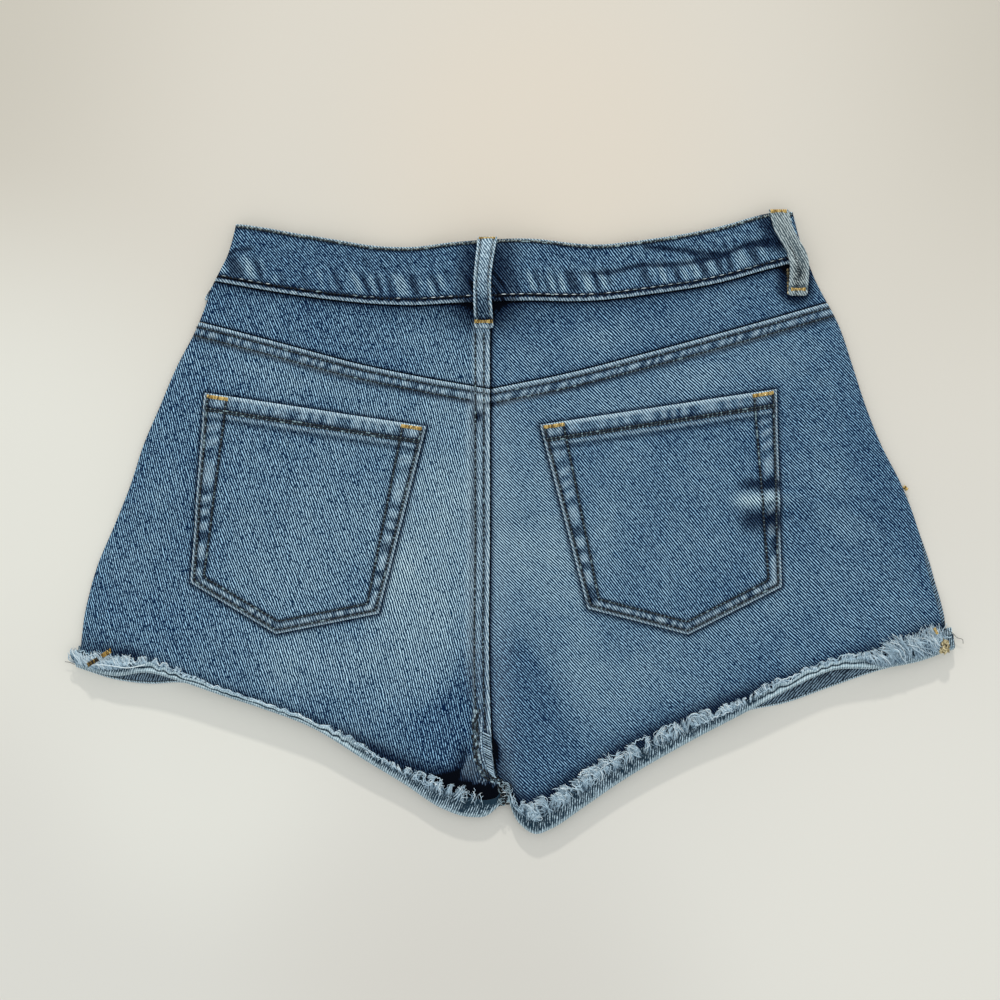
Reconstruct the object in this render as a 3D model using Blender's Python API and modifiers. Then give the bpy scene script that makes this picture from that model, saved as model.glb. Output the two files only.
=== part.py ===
"""Denim shorts laid flat on their front, the back side up.

The waist points to +Y and the floor is z = 0. Each cut piece is a closed wall between two
height fields over its own plan outline, so the pieces lie on each other as cloth does.
"""

import math
import random
from collections import namedtuple

import bmesh
import bpy
import numpy as np

MM = 0.001  # every size below is in millimetres

CLOTH = 1.2  # one layer of denim
WAISTBAND = 3.0  # four turned layers
FELL = 0.8  # how far a felled seam stands above its panel
SEAM_GAP = 0.3  # between pieces that meet edge to edge
LAY_GAP = 0.45  # under a piece that lies on another
INNER_GAP = 0.7  # between the front and what lies inside it
RIM_GAP = 0.45  # between the back's edge and the front's
CENTRE = -15.4  # x of the centre-back seam and of the fly

SIDE_ROLL = 16.0  # width of the soft turn at the side of a leg
WAIST_ROLL = 8.0
TURN_IN = 12.0  # over which the inner side draws in from the outer one at a side
SEAT_LOFT = 2.5  # air between the back and the front in the middle of a leg
WAIST_LOFT = 0.3

YOKE_FELL = 7.0
CENTRE_FELL = 10.5
POCKET_CLOTH = 1.2
POCKET_HEM = 2.1
POCKET_HEM_DEPTH = 15.0
POCKET_EASE = 0.7  # how far a pocket swells in its middle

LOOP_WIDTH = 12.0
LOOP_CLOTH = 1.6
LOOP_ARCH = 1.0
LOOP_LIFT = 2.0  # cloth that lies on a front loop rises by this

BUTTON_RADIUS = 8.5
BUTTON_CAP = 2.4
SHANK_RADIUS = 2.4
BUTTON_LIFT = 2.9
BUTTONHOLE = 8.5
LAP_OUTER = 19.0  # how far the outer waistband end passes the centre
LAP_INNER = 22.0
LAP_RAMP = 28.0
FRONT_DROP = 2.2  # the front waistband's top edge lies this far below the back's

CUFF_LIP = 1.2
CUFF_SHARE = 0.6  # of the turned-up edge that is whole cloth; the rest is frayed
CUFF_LEAST = 3.2
FRONT_CUFF = 14.0
FRONT_CUFF_LIFT = CLOTH + SEAM_GAP
FRAY_GAP = 0.7  # between the cuff's edge and the strip that holds the strands
FRAY_STRIP = 1.0
FRAY_THICK = 0.8
FRAY_LIFT = 0.55
FRONT_FRAY_LIFT = 0.25
FRAY_LEAST = 3.4  # the shortest free length of a strand
FRAY_START = 18.0  # from the crotch corner
FRAY_WIDTH = 1.3
STRANDS_BACK = 40
STRANDS_FRONT = 16

MOUTH_WIDTH = 62.0  # the front pocket's mouth, along the waist seam
MOUTH_FOOT = 21.0  # y where the mouth meets the side
FACING_DEPTH = 26.0  # how far the facing runs in behind the mouth's edge
FACING_INSET = 5.0
FACING_FOOT = 8.0
FACING_BEND = 60.0  # y where the facing's inner edge turns out to the side
SHIELD_HALF = 19.0
SHIELD_FOOT = 15.0

Side = namedtuple("Side", "y left right")
SIDES = [
    Side(194.0, -172.5, 173.5),
    Side(180.0, -175.2, 177.0),
    Side(166.5, -179.2, 181.5),
    Side(150.4, -187.2, 188.6),
    Side(122.5, -198.4, 203.0),
    Side(97.7, -211.4, 211.4),
    Side(72.9, -222.0, 219.5),
    Side(48.1, -232.5, 229.4),
    Side(23.3, -240.6, 242.0),
    Side(-1.6, -250.5, 251.5),
    Side(-26.4, -261.0, 257.5),
    Side(-51.2, -267.8, 264.0),
    Side(-72.9, -270.8, 269.0),
    Side(-95.0, -272.6, 272.4),
]

Waist = namedtuple("Waist", "x top seam")
WAIST = [
    Waist(-190.0, 187.0, 151.0),
    Waist(-174.2, 185.7, 148.0),
    Waist(-151.0, 182.4, 144.2),
    Waist(-113.5, 176.0, 138.6),
    Waist(-89.9, 172.4, 136.5),
    Waist(-66.3, 171.4, 135.5),
    Waist(-34.0, 173.9, 136.3),
    Waist(12.4, 175.8, 137.8),
    Waist(52.7, 173.0, 138.6),
    Waist(86.8, 176.4, 142.5),
    Waist(127.7, 184.3, 149.7),
    Waist(160.0, 192.8, 158.5),
    Waist(190.0, 193.6, 166.0),
]

# The centre-back seam leans to +X as it nears the crotch.
CentreSeam = namedtuple("CentreSeam", "y x")
CENTRE_SEAM = [
    CentreSeam(200.0, CENTRE),
    CentreSeam(0.0, CENTRE),
    CentreSeam(-110.0, CENTRE),
    CentreSeam(-150.0, CENTRE + 2.2),
    CentreSeam(-178.0, CENTRE + 6.8),
]
LEG_BREADTH = 240.0  # from the centre seam to the side, about half way down
BACK_DEPTH = 230.0  # from the yoke seam to the hem
FRONT_DEPTH = 260.0  # from the waist seam to the hem
YOKE_BREADTH = 180.0
YOKE_DEPTH = 40.0
BAND_LENGTH = 360.0
BAND_DEPTH = 37.0
BAND_EDGE = 2.6  # breadth of the waistband's rounded edges
BAND_ROUND = 0.7  # how far they fall
POCKET_HALF = 75.0
POCKET_DEPTH = 125.0
FELL_STEP = 0.7  # breadth of the step down from a felled seam or a hem
LEGS_PART = -150.0  # y below which the two legs' edges leave the seam

YokeSeam = namedtuple("YokeSeam", "x y")
YOKE_SEAM_LEFT = [
    YokeSeam(-201.0, 126.0),
    YokeSeam(-153.8, 113.8),
    YokeSeam(-100.4, 99.5),
    YokeSeam(-58.9, 90.8),
    YokeSeam(-15.0, 82.8),
]
YOKE_SEAM_RIGHT = [
    YokeSeam(-16.0, 82.8),
    YokeSeam(34.1, 93.3),
    YokeSeam(78.1, 104.5),
    YokeSeam(144.5, 122.5),
    YokeSeam(199.0, 138.2),
]

# fold is the lower edge of the turned-up hem, raw the upper limit of its fray,
# front the fold of the front's hem under it, loft the air under the back's fold.
Hem = namedtuple("Hem", "x fold raw front loft")
HEM_LEFT = [
    Hem(-9.0, -175.8, -167.6, -173.5, 0.3),
    Hem(-16.7, -182.6, -166.4, -180.0, 0.3),
    Hem(-27.9, -183.8, -163.0, -181.5, 0.4),
    Hem(-46.5, -178.0, -157.4, -175.8, 0.5),
    Hem(-68.8, -163.4, -149.6, -161.6, 0.8),
    Hem(-93.0, -148.5, -138.4, -147.0, 1.6),
    Hem(-124.6, -128.7, -124.2, -127.4, 2.6),
    Hem(-158.1, -115.6, -111.8, -114.6, 2.8),
    Hem(-182.9, -107.6, -103.4, -107.4, 2.8),
    Hem(-208.3, -98.9, -94.0, -100.4, 3.0),
    Hem(-228.2, -93.6, -86.8, -101.0, 3.2),
    Hem(-250.5, -95.8, -79.8, -98.2, 1.2),
    Hem(-274.4, -89.2, -73.2, -90.6, 0.3),
]
HEM_RIGHT = [
    Hem(-4.4, -172.0, -164.8, -169.4, 0.3),
    Hem(-1.2, -181.4, -169.4, -178.6, 0.3),
    Hem(5.6, -190.6, -173.2, -187.8, 0.3),
    Hem(13.0, -194.4, -171.8, -191.8, 0.4),
    Hem(21.7, -191.6, -166.4, -189.0, 0.4),
    Hem(43.4, -177.4, -153.0, -175.6, 0.5),
    Hem(64.5, -162.8, -140.6, -161.2, 0.6),
    Hem(106.6, -138.0, -121.2, -136.8, 1.2),
    Hem(143.8, -118.1, -107.2, -118.6, 2.6),
    Hem(169.3, -104.6, -97.4, -113.0, 3.0),
    Hem(196.5, -92.4, -86.8, -103.4, 3.2),
    Hem(228.2, -91.0, -79.4, -92.6, 1.6),
    Hem(253.0, -86.5, -68.6, -86.3, 0.6),
    Hem(274.6, -78.6, -63.4, -79.6, 0.3),
]

# Broad soft folds of the back: middle, length, half width, height, and turn of the length from +X.
Fold = namedtuple("Fold", "x y length spread height turn")
FOLDS = [
    Fold(-120.0, -85.0, 90.0, 22.0, 0.7, -25.0),
    Fold(-215.0, 20.0, 110.0, 16.0, 0.6, 68.0),
    Fold(190.0, 22.0, 60.0, 12.0, 0.9, 8.0),
    Fold(212.0, -25.0, 100.0, 16.0, 0.6, 112.0),
    Fold(60.0, -120.0, 80.0, 22.0, 0.7, 28.0),
    Fold(5.0, -135.0, 60.0, 12.0, 0.9, 100.0),
    Fold(110.0, 130.0, 90.0, 12.0, 0.5, 14.0),
]

Pocket = namedtuple("Pocket", "name corner_left corner_right foot_right tip foot_left")
POCKETS = [
    Pocket(
        "back_pocket_left",
        (-192.8, 80.6), (-55.2, 59.8), (-84.9, -56.7), (-148.8, -69.4), (-202.1, -37.5),
    ),
    Pocket(
        "back_pocket_right",
        (15.5, 60.8), (162.4, 82.8), (166.2, -40.0), (107.9, -69.8), (45.3, -53.6),
    ),
]

# Belt loops from their upper to their lower end; the back ones lie on top, the others underneath.
Loop = namedtuple("Loop", "name back route")
LOOPS = [
    Loop("belt_loop_centre", True, [(-17.0, 176.4), (-20.2, 150.0), (-19.2, 120.6)]),
    Loop("belt_loop_right", True, [(163.8, 194.4), (166.2, 182.0), (173.6, 166.5), (175.4, 141.0)]),
    Loop("belt_loop_left", False, [(-165.0, 181.0), (-176.0, 160.0), (-189.0, 139.0)]),
    Loop("belt_loop_front_left", False, [(-112.0, 173.5), (-113.5, 150.0), (-113.5, 121.0)]),
    Loop("belt_loop_front_right", False, [(82.0, 173.0), (83.0, 150.0), (83.0, 122.0)]),
]


def curve(table, along, value):
    """A smooth function through two named columns of a table."""
    rows = sorted(table, key=lambda row: getattr(row, along))
    xs = np.array([getattr(row, along) for row in rows])
    ys = np.array([getattr(row, value) for row in rows])
    slopes = np.gradient(ys, xs)

    def at(x):
        x = min(max(x, xs[0]), xs[-1])
        i = int(min(max(np.searchsorted(xs, x) - 1, 0), len(xs) - 2))
        h = xs[i + 1] - xs[i]
        t = (x - xs[i]) / h
        start = (1 + 2 * t) * (1 - t) ** 2 * ys[i] + t * (1 - t) ** 2 * h * slopes[i]
        end = t * t * (3 - 2 * t) * ys[i + 1] + t * t * (t - 1) * h * slopes[i + 1]
        return float(start + end)

    return at


def mix(a, b, share):
    return a + (b - a) * share


def ramp(low, high, x):
    """0 up to low, 1 from high on, smooth between."""
    t = min(max((x - low) / (high - low), 0.0), 1.0)
    return t * t * (3 - 2 * t)


def quarter(t):
    """The rise of a quarter circle."""
    t = min(max(t, 0.0), 1.0)
    return math.sqrt(1 - (1 - t) ** 2)


side_left = curve(SIDES, "y", "left")
side_right = curve(SIDES, "y", "right")
waist_top = curve(WAIST, "x", "top")
waist_seam = curve(WAIST, "x", "seam")
centre_seam = curve(CENTRE_SEAM, "y", "x")


def leg_curves(sign, side, yoke_seam, hem):
    """Everything that shapes one leg; sign is -1 on the left."""
    return dict(
        sign=sign,
        side=side,
        yoke=curve(yoke_seam, "x", "y"),
        fold=curve(hem, "x", "fold"),
        raw=curve(hem, "x", "raw"),
        front=curve(hem, "x", "front"),
        loft=curve(hem, "x", "loft"),
        crotch=hem[0].x,
        corner=hem[-1].x,
    )


LEGS = {
    "left": leg_curves(-1, side_left, YOKE_SEAM_LEFT, HEM_LEFT),
    "right": leg_curves(1, side_right, YOKE_SEAM_RIGHT, HEM_RIGHT),
}


def leg_at(x):
    return LEGS["left"] if x < CENTRE + 6 else LEGS["right"]


def side_distance(x, y):
    return min(x - side_left(y), side_right(y) - x)


def waist_share(x, y):
    """1 on the waistband, 0 on the panels well below it."""
    return ramp(-14.0, -1.0, y - waist_seam(x))


def front_lift(x, y):
    """Underside of the front's panels: flat, but for what lies beneath them."""
    hem = FRONT_CUFF_LIFT * (1 - ramp(31.0, 50.0, y - leg_at(x)["front"](x)))
    button = BUTTON_LIFT * (1 - ramp(11.0, 45.0, math.hypot(x - CENTRE, (y - 154.0) * 0.8)))
    loops = 0.0
    for loop in LOOPS:
        if not loop.back:
            across = abs(x - route_at(loop.route, y))
            foot = loop.route[-1][1]
            share = (1 - ramp(LOOP_WIDTH / 2 + 2, 30.0, across)) * ramp(foot - 30, foot - 10, y)
            loops = max(loops, LOOP_LIFT * share)
    return max(hem, button, loops)


def route_at(route, y):
    ys = [point[1] for point in reversed(route)]
    xs = [point[0] for point in reversed(route)]
    return float(np.interp(y, ys, xs))


def front_top(x, y, share):
    """Upper side of everything that belongs to the front; share is 1 on the waistband."""
    panel = CLOTH
    inside = CLOTH + INNER_GAP
    side = side_distance(x, y)
    facing = (1 - ramp(MOUTH_WIDTH + 30, MOUTH_WIDTH + 55, side)) * ramp(-14.0, 4.0, y - MOUTH_FOOT + 12)
    shield = (1 - ramp(SHIELD_HALF + 2, SHIELD_HALF + 16, abs(x - CENTRE))) * ramp(
        SHIELD_FOOT - 22, SHIELD_FOOT - 4, y
    )
    panel += inside * max(facing, shield)
    lap = (WAISTBAND + INNER_GAP) * ramp(CENTRE - LAP_INNER - 30, CENTRE - LAP_INNER - 3, x)
    lap *= 1 - ramp(CENTRE + LAP_OUTER + 1, CENTRE + LAP_OUTER + LAP_RAMP + 4, x)
    return front_lift(x, y) + mix(panel, WAISTBAND + lap, share)


def rim_height(x, y, share):
    """Where the back's edge comes to rest on the front's edge."""
    return front_lift(x, y) + mix(CLOTH, WAISTBAND + SEAM_GAP, share) + RIM_GAP


def folds(x, y):
    total = 0.0
    for fold in FOLDS:
        turn = math.radians(fold.turn)
        along = (x - fold.x) * math.cos(turn) + (y - fold.y) * math.sin(turn)
        across = -(x - fold.x) * math.sin(turn) + (y - fold.y) * math.cos(turn)
        total += fold.height * math.exp(-((along / fold.length * 2) ** 2) - (across / fold.spread) ** 2)
    return total


def back_loft(x, y):
    leg = leg_at(x)
    rise = y - leg["fold"](x)
    seat = SEAT_LOFT + 0.5 * folds(x, y) * ramp(20.0, 50.0, rise)
    seat = mix(leg["loft"](x), seat, ramp(2.0, 34.0, rise))
    return mix(seat, WAIST_LOFT, ramp(-70.0, -2.0, y - waist_seam(x)))


def back_height(x, y, share, thick, below):
    """The back's outer side, or its inner side where below is the wall."""
    rim = rim_height(x, y, share)
    crown = front_top(x, y, share) + SEAM_GAP * share + RIM_GAP + back_loft(x, y) + thick - below
    roll = mix(SIDE_ROLL, WAIST_ROLL, share)
    reach = (side_distance(x, y) - below) / (roll - below)
    return rim + (crown - rim) * quarter(reach)


def back_outer(x, y):
    return back_height(x, y, waist_share(x, y), CLOTH, 0.0)


def back_inner(x, y):
    return back_height(x, y, waist_share(x, y), CLOTH, CLOTH)


def band_outer(x, y):
    return back_height(x, y, 1.0, WAISTBAND, 0.0)


def band_inner(x, y):
    return back_height(x, y, 1.0, WAISTBAND, WAISTBAND)


def panel_stations(pitch, starts=(4.0, 9.0, 15.0, 22.0), ends=(0.8, 3.0, 7.0, 12.0, 18.0)):
    """Shares across a leg, from the centre seam to the side."""
    return stations(LEG_BREADTH, pitch, starts, ends)


def stations(length, pitch, from_start=(), from_end=()):
    """Shares 0 to 1 of a length: given distances at both ends, even steps between."""
    start = [0.0, *from_start]
    end = sorted(length - d for d in (0.0, *from_end))
    count = max(1, round((end[0] - start[-1]) / pitch))
    middle = [mix(start[-1], end[0], (i + 1) / count) for i in range(count - 1)]
    return [d / length for d in (*start, *middle, *end)]


def patch(top, bottom, inner, outer):
    """A plan outline of four edges, each a function of 0 to 1, filled smoothly."""
    corners = top(0), top(1), bottom(0), bottom(1)

    def at(u, v):
        point = []
        for k in (0, 1):
            ruled = mix(top(u)[k], bottom(u)[k], v) + mix(inner(v)[k], outer(v)[k], u)
            flat = mix(mix(corners[0][k], corners[1][k], u), mix(corners[2][k], corners[3][k], u), v)
            point.append(ruled - flat)
        return tuple(point)

    return at


def hem_edge(leg, edge):
    """The cut end of a leg panel, inside the lip of its turned-up cuff."""

    def at(x):
        corner = 1.0 - ramp(0.0, 14.0, abs(x - leg["crotch"]))
        return leg[edge](x) + CUFF_LIP + 2 * SEAM_GAP + 2.2 * corner

    return at


def edge_across(height, x_start, x_end, shift=0.0):
    return lambda t: (mix(x_start, x_end, t), height(mix(x_start, x_end, t)) + shift)


def edge_down(place, y_start, y_end, shift=0.0):
    return lambda t: (place(mix(y_start, y_end, t)) + shift, mix(y_start, y_end, t))


def straight(start, end):
    return lambda t: (mix(start[0], end[0], t), mix(start[1], end[1], t))


def inner_edge(leg, top_y, foot_y):
    """A leg panel's edge along the centre seam, which ends at the leg's own crotch corner."""
    half_gap = 0.65 * SEAM_GAP * leg["sign"]
    leaving = leg["crotch"] - centre_seam(foot_y) - half_gap

    def at(t):
        y = mix(top_y, foot_y, t)
        return centre_seam(y) + half_gap + leaving * ramp(0.0, LEGS_PART - foot_y, LEGS_PART - y), y

    return at


def meet(height, place, x):
    """Where an edge across, y = height(x), meets a side, x = place(y)."""
    for _ in range(30):
        x = mix(x, place(height(x)), 0.7)
    return x


def material(name, colour, roughness=0.9, metallic=0.0):
    found = bpy.data.materials.get(name)
    if found:
        return found
    made = bpy.data.materials.new(name)
    made.use_nodes = True
    shader = made.node_tree.nodes["Principled BSDF"]
    shader.inputs["Base Color"].default_value = (*colour, 1.0)
    shader.inputs["Roughness"].default_value = roughness
    shader.inputs["Metallic"].default_value = metallic
    return made


def denim():
    return material("denim", (0.11, 0.21, 0.36))


def pale_denim():
    return material("pale_denim", (0.42, 0.52, 0.62))


def keep(bm, name, finish):
    bmesh.ops.recalc_face_normals(bm, faces=bm.faces[:])
    if bm.calc_volume(signed=True) < 0:
        bmesh.ops.reverse_faces(bm, faces=bm.faces[:])
    mesh = bpy.data.meshes.new(name)
    bm.to_mesh(mesh)
    bm.free()
    mesh.shade_smooth()
    mesh.set_sharp_from_angle(angle=math.radians(50))
    mesh.materials.append(finish)
    piece = bpy.data.objects.new(name, mesh)
    shorts.objects.link(piece)
    return piece


def wall(name, finish, place, over, under, us, vs, hole=None):
    """A closed wall over a grid of u and v; over and under give its outer and inner points.

    place gives the plan outline, where hole leaves out what lies in an opening."""
    bm = bmesh.new()
    columns, rows = len(us) - 1, len(vs) - 1
    bmesh.ops.create_grid(bm, x_segments=columns, y_segments=rows, size=0.5)
    if hole:
        inside = []
        for face in bm.faces:
            middle = face.calc_center_median()
            u = np.interp((middle.x + 0.5) * columns, range(len(us)), us)
            v = np.interp((middle.y + 0.5) * rows, range(len(vs)), vs)
            if hole(*place(u, v)):
                inside.append(face)
        bmesh.ops.delete(bm, geom=inside, context="FACES")
    raised = bmesh.ops.extrude_face_region(bm, geom=bm.faces[:])["geom"]
    raised = {item for item in raised if isinstance(item, bmesh.types.BMVert)}
    for vert in bm.verts:
        u = us[round((vert.co.x + 0.5) * columns)]
        v = vs[round((vert.co.y + 0.5) * rows)]
        shape = over if vert in raised else under
        vert.co = [size * MM for size in shape(u, v)]
    return keep(bm, name, finish)


def loft(name, finish, sections, fringe=None):
    """A closed tube through sections of equally many points; fringe grows strands from it."""
    bm = bmesh.new()
    rings = [[bm.verts.new([size * MM for size in point]) for point in ring] for ring in sections]
    count = len(rings[0])
    sides = []
    for near, far in zip(rings, rings[1:]):
        for k in range(count):
            n = (k + 1) % count
            sides.append(bm.faces.new((near[k], near[n], far[n], far[k])))
    bm.faces.new(rings[0])
    bm.faces.new(rings[-1])
    if fringe:
        fringe(bm, sides)
    return keep(bm, name, finish)


def back_wall(name, place, us, vs, sign, fell):
    """A piece of the back. Its side edge turns down, and its inner side stays the wall inside it."""

    def over(u, v):
        x, y = place(u, v)
        return x, y, back_outer(x, y) + fell(u, v) * quarter(side_distance(x, y) / SIDE_ROLL)

    def under(u, v):
        x, y = place(u, v)
        if u > 0.9:
            x -= sign * CLOTH * max(0.0, 1 - max(side_distance(x, y), 0.0) / TURN_IN)
        return x, y, back_inner(x, y)

    wall(name, denim(), place, over, under, us, vs)


# Grid lines near the centre seam: the left panel's carry the felled seam's edge.
BACK_STARTS = {
    "left": (4.5, CENTRE_FELL, CENTRE_FELL + FELL_STEP, 18.0),
    "right": (4.0, 9.0, 15.0, 22.0),
}


def make_back_panels():
    for name, leg in LEGS.items():
        sign = leg["sign"]
        start_x = CENTRE + 0.65 * SEAM_GAP * sign
        seam = lambda x, leg=leg: leg["yoke"](x) - SEAM_GAP / 2
        foot = hem_edge(leg, "fold")
        side_x = meet(seam, leg["side"], 200.0 * sign)
        hem_x = meet(foot, leg["side"], 270.0 * sign)
        crotch = leg["crotch"]
        place = patch(
            edge_across(seam, start_x, side_x),
            edge_across(foot, crotch, hem_x),
            inner_edge(leg, seam(CENTRE), foot(crotch)),
            edge_down(leg["side"], seam(side_x), foot(hem_x)),
        )
        band = CENTRE_FELL if sign < 0 else 0.0

        def fell(u, v, band=band):
            high = v * BACK_DEPTH < YOKE_FELL + 0.1 or (u * LEG_BREADTH < band + 0.1 and v < 0.97)
            return FELL if high else 0.0

        us = panel_stations(15.0, BACK_STARTS[name])
        vs = stations(BACK_DEPTH, 15.0, (YOKE_FELL, YOKE_FELL + FELL_STEP), (5.0, 11.0, 20.0))
        back_wall(f"back_{name}", place, us, vs, sign, fell)


def make_yokes():
    for name, leg in LEGS.items():
        sign = leg["sign"]
        start_x = CENTRE + 0.65 * SEAM_GAP * sign
        top = lambda x: waist_seam(x) - SEAM_GAP
        foot = lambda x, leg=leg: leg["yoke"](x) + SEAM_GAP / 2
        top_x = meet(top, leg["side"], 185.0 * sign)
        foot_x = meet(foot, leg["side"], 200.0 * sign)
        place = patch(
            edge_across(top, start_x, top_x),
            edge_across(foot, start_x, foot_x),
            straight((start_x, top(CENTRE)), (start_x, foot(CENTRE))),
            edge_down(leg["side"], top(top_x), foot(foot_x)),
        )
        band = CENTRE_FELL if sign < 0 else 0.0
        starts = (CENTRE_FELL, CENTRE_FELL + FELL_STEP) if sign < 0 else (4.0, 10.0)
        us = stations(YOKE_BREADTH, 13.0, starts, (0.8, 3.0, 7.0, 12.0, 18.0))
        vs = stations(YOKE_DEPTH, 9.0)
        fell = lambda u, v, band=band: FELL if u * YOKE_BREADTH < band + 0.1 else 0.0
        back_wall(f"yoke_{name}", place, us, vs, sign, fell)


def make_waistband_back():
    left = meet(waist_seam, side_left, -185.0)
    right = meet(waist_seam, side_right, 183.0)
    left_top = meet(waist_top, side_left, -174.0)
    right_top = meet(waist_top, side_right, 174.0)
    place = patch(
        edge_across(waist_top, left_top, right_top),
        edge_across(waist_seam, left, right),
        edge_down(side_left, waist_top(left_top), waist_seam(left)),
        edge_down(side_right, waist_top(right_top), waist_seam(right)),
    )

    def over(u, v):
        x, y = place(u, v)
        edge = min(v, 1 - v) * BAND_DEPTH
        return x, y, band_outer(x, y) - BAND_ROUND * (1 - ramp(0.0, BAND_EDGE, edge))

    def under(u, v):
        x, y = place(u, v)
        reach = max(0.0, 1 - max(side_distance(x, y), 0.0) / (WAIST_ROLL - 1))
        x += WAISTBAND * reach * (1 if x < 0 else -1)
        return x, y, band_inner(x, y)

    us = stations(BAND_LENGTH, 11.0, (0.6, 2.5, 6.0, 12.0), (0.6, 2.5, 6.0, 12.0))
    vs = stations(BAND_DEPTH, 11.0, (BAND_EDGE,), (BAND_EDGE,))
    wall("waistband_back", denim(), place, over, under, us, vs)


def make_pockets():
    for pocket in POCKETS:
        middle = straight(pocket.foot_left, pocket.tip), straight(pocket.tip, pocket.foot_right)
        tip_share = (pocket.tip[0] - pocket.foot_left[0]) / (pocket.foot_right[0] - pocket.foot_left[0])

        def bottom(t, middle=middle, tip_share=tip_share):
            if t < tip_share:
                return middle[0](t / tip_share)
            return middle[1]((t - tip_share) / (1 - tip_share))

        place = patch(
            straight(pocket.corner_left, pocket.corner_right),
            bottom,
            straight(pocket.corner_left, pocket.foot_left),
            straight(pocket.corner_right, pocket.foot_right),
        )

        def lift(u, v, place=place):
            x, y = place(u, v)
            ease = POCKET_EASE * math.sin(math.pi * u) * math.sin(math.pi * v)
            return x, y, back_outer(x, y) + LAY_GAP + max(ease, 0.0)

        def over(u, v, lift=lift):
            x, y, z = lift(u, v)
            hemmed = v * POCKET_DEPTH < POCKET_HEM_DEPTH + 0.1
            return x, y, z + (POCKET_HEM if hemmed else POCKET_CLOTH)

        half = stations(POCKET_HALF, 13.0, (6.0,))
        us = [t * tip_share for t in half] + [1 - t * (1 - tip_share) for t in reversed(half[:-1])]
        vs = stations(POCKET_DEPTH, 13.0, (POCKET_HEM_DEPTH, POCKET_HEM_DEPTH + FELL_STEP), (6.0,))
        wall(pocket.name, denim(), place, over, lift, us, vs)


def carrier(x, y):
    """The top of what a back loop crosses: the waistband, then the felled yoke."""
    below = waist_seam(x) - y
    return mix(band_outer(x, y), back_outer(x, y) + FELL + 0.3, ramp(1.5, 8.0, below))


def make_loops():
    half = LOOP_WIDTH / 2
    for loop in LOOPS:
        top_y, foot_y = loop.route[0][1], loop.route[-1][1]
        length = top_y - foot_y

        def place(u, v, loop=loop, top_y=top_y, foot_y=foot_y):
            y = mix(top_y, foot_y, v)
            return route_at(loop.route, y) + mix(-half, half, u), y

        def under(u, v, loop=loop, place=place, length=length):
            x, y = place(u, v)
            if not loop.back:
                return x, y, 0.0
            middle = x - mix(-half, half, u)
            inward = middle - 6 if middle > 100 else middle
            ends = ramp(0.0, 8.0, v * length) * ramp(0.0, 12.0, (1 - v) * length)
            return x, y, max(carrier(middle, y), carrier(inward, y)) + LAY_GAP + LOOP_ARCH * ends

        def over(u, v, under=under):
            x, y, z = under(u, v)
            return x, y, z + LOOP_CLOTH

        vs = stations(length, 6.0 if loop.back else 14.0, (3.0,), (3.0,))
        us = [0.0, 0.18, 0.82, 1.0] if loop.back else [0.0, 1.0]
        wall(loop.name, denim(), place, over, under, us, vs)


def make_front_panels():
    for name, leg in LEGS.items():
        sign = leg["sign"]
        start_x = CENTRE + 0.65 * SEAM_GAP * sign
        sliver = lambda y, leg=leg, sign=sign: leg["side"](y) + (
            2.6 * ramp(0.0, 22.0, y + 78) * (1 - ramp(0.0, 30.0, y + 30)) if sign > 0 else 0.0
        )
        foot = hem_edge(leg, "front")
        mouth_x = leg["side"](MOUTH_FOOT)
        seam_side = meet(waist_seam, leg["side"], 185.0 * sign)
        mouth_start = seam_side - sign * MOUTH_WIDTH
        reach = abs(mouth_x - mouth_start)
        drop = waist_seam(mouth_start) - MOUTH_FOOT

        def top(x, mouth_start=mouth_start, reach=reach, drop=drop, sign=sign):
            """The waist seam, then the scoop of the pocket mouth down to the side."""
            past = min((x - mouth_start) * sign / reach, 1.0)
            if past <= 0:
                return waist_seam(x) - SEAM_GAP
            return waist_seam(mouth_start) - SEAM_GAP - drop * (1 - (1 - past) ** 1.6)

        hem_x = meet(foot, sliver, 270.0 * sign)
        crotch = leg["crotch"]
        place = patch(
            edge_across(top, start_x, mouth_x),
            edge_across(foot, crotch, hem_x),
            inner_edge(leg, top(CENTRE), foot(crotch)),
            edge_down(sliver, top(mouth_x), foot(hem_x)),
        )
        us = panel_stations(17.0, ends=(5.0, 11.0))
        vs = stations(FRONT_DEPTH, 16.0, (8.0, 16.0, 25.0, 36.0), (16.0, 31.0, 40.0, 50.0))
        under = lambda u, v, place=place: (*place(u, v), front_lift(*place(u, v)))
        over = lambda u, v, place=place: (*place(u, v), front_lift(*place(u, v)) + CLOTH)
        wall(f"front_{name}", denim(), place, over, under, us, vs)
        make_facing(name, leg, mouth_start, seam_side)


def make_facing(name, leg, mouth_start, seam_side):
    """The denim behind a front pocket's mouth; it shows in the mouth from below."""
    sign = leg["sign"]
    inset = FACING_INSET * sign
    inner_x = mouth_start - sign * FACING_DEPTH
    outer_x = seam_side - inset
    bend = mouth_start - sign * FACING_DEPTH * 0.6, FACING_BEND
    top = lambda x: waist_seam(x) - 3 * SEAM_GAP
    place = patch(
        edge_across(top, inner_x, outer_x),
        straight(bend, (leg["side"](FACING_FOOT) - inset, FACING_FOOT)),
        straight((inner_x, top(inner_x)), bend),
        edge_down(leg["side"], top(outer_x), FACING_FOOT, -inset),
    )
    rise = CLOTH + INNER_GAP
    under = lambda u, v: (*place(u, v), front_lift(*place(u, v)) + rise)
    over = lambda u, v: (*place(u, v), front_lift(*place(u, v)) + rise + CLOTH)
    us = stations(90.0, 13.0)
    vs = stations(110.0, 14.0, (8.0,))
    wall(f"front_pocket_facing_{name}", denim(), place, over, under, us, vs)


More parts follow.
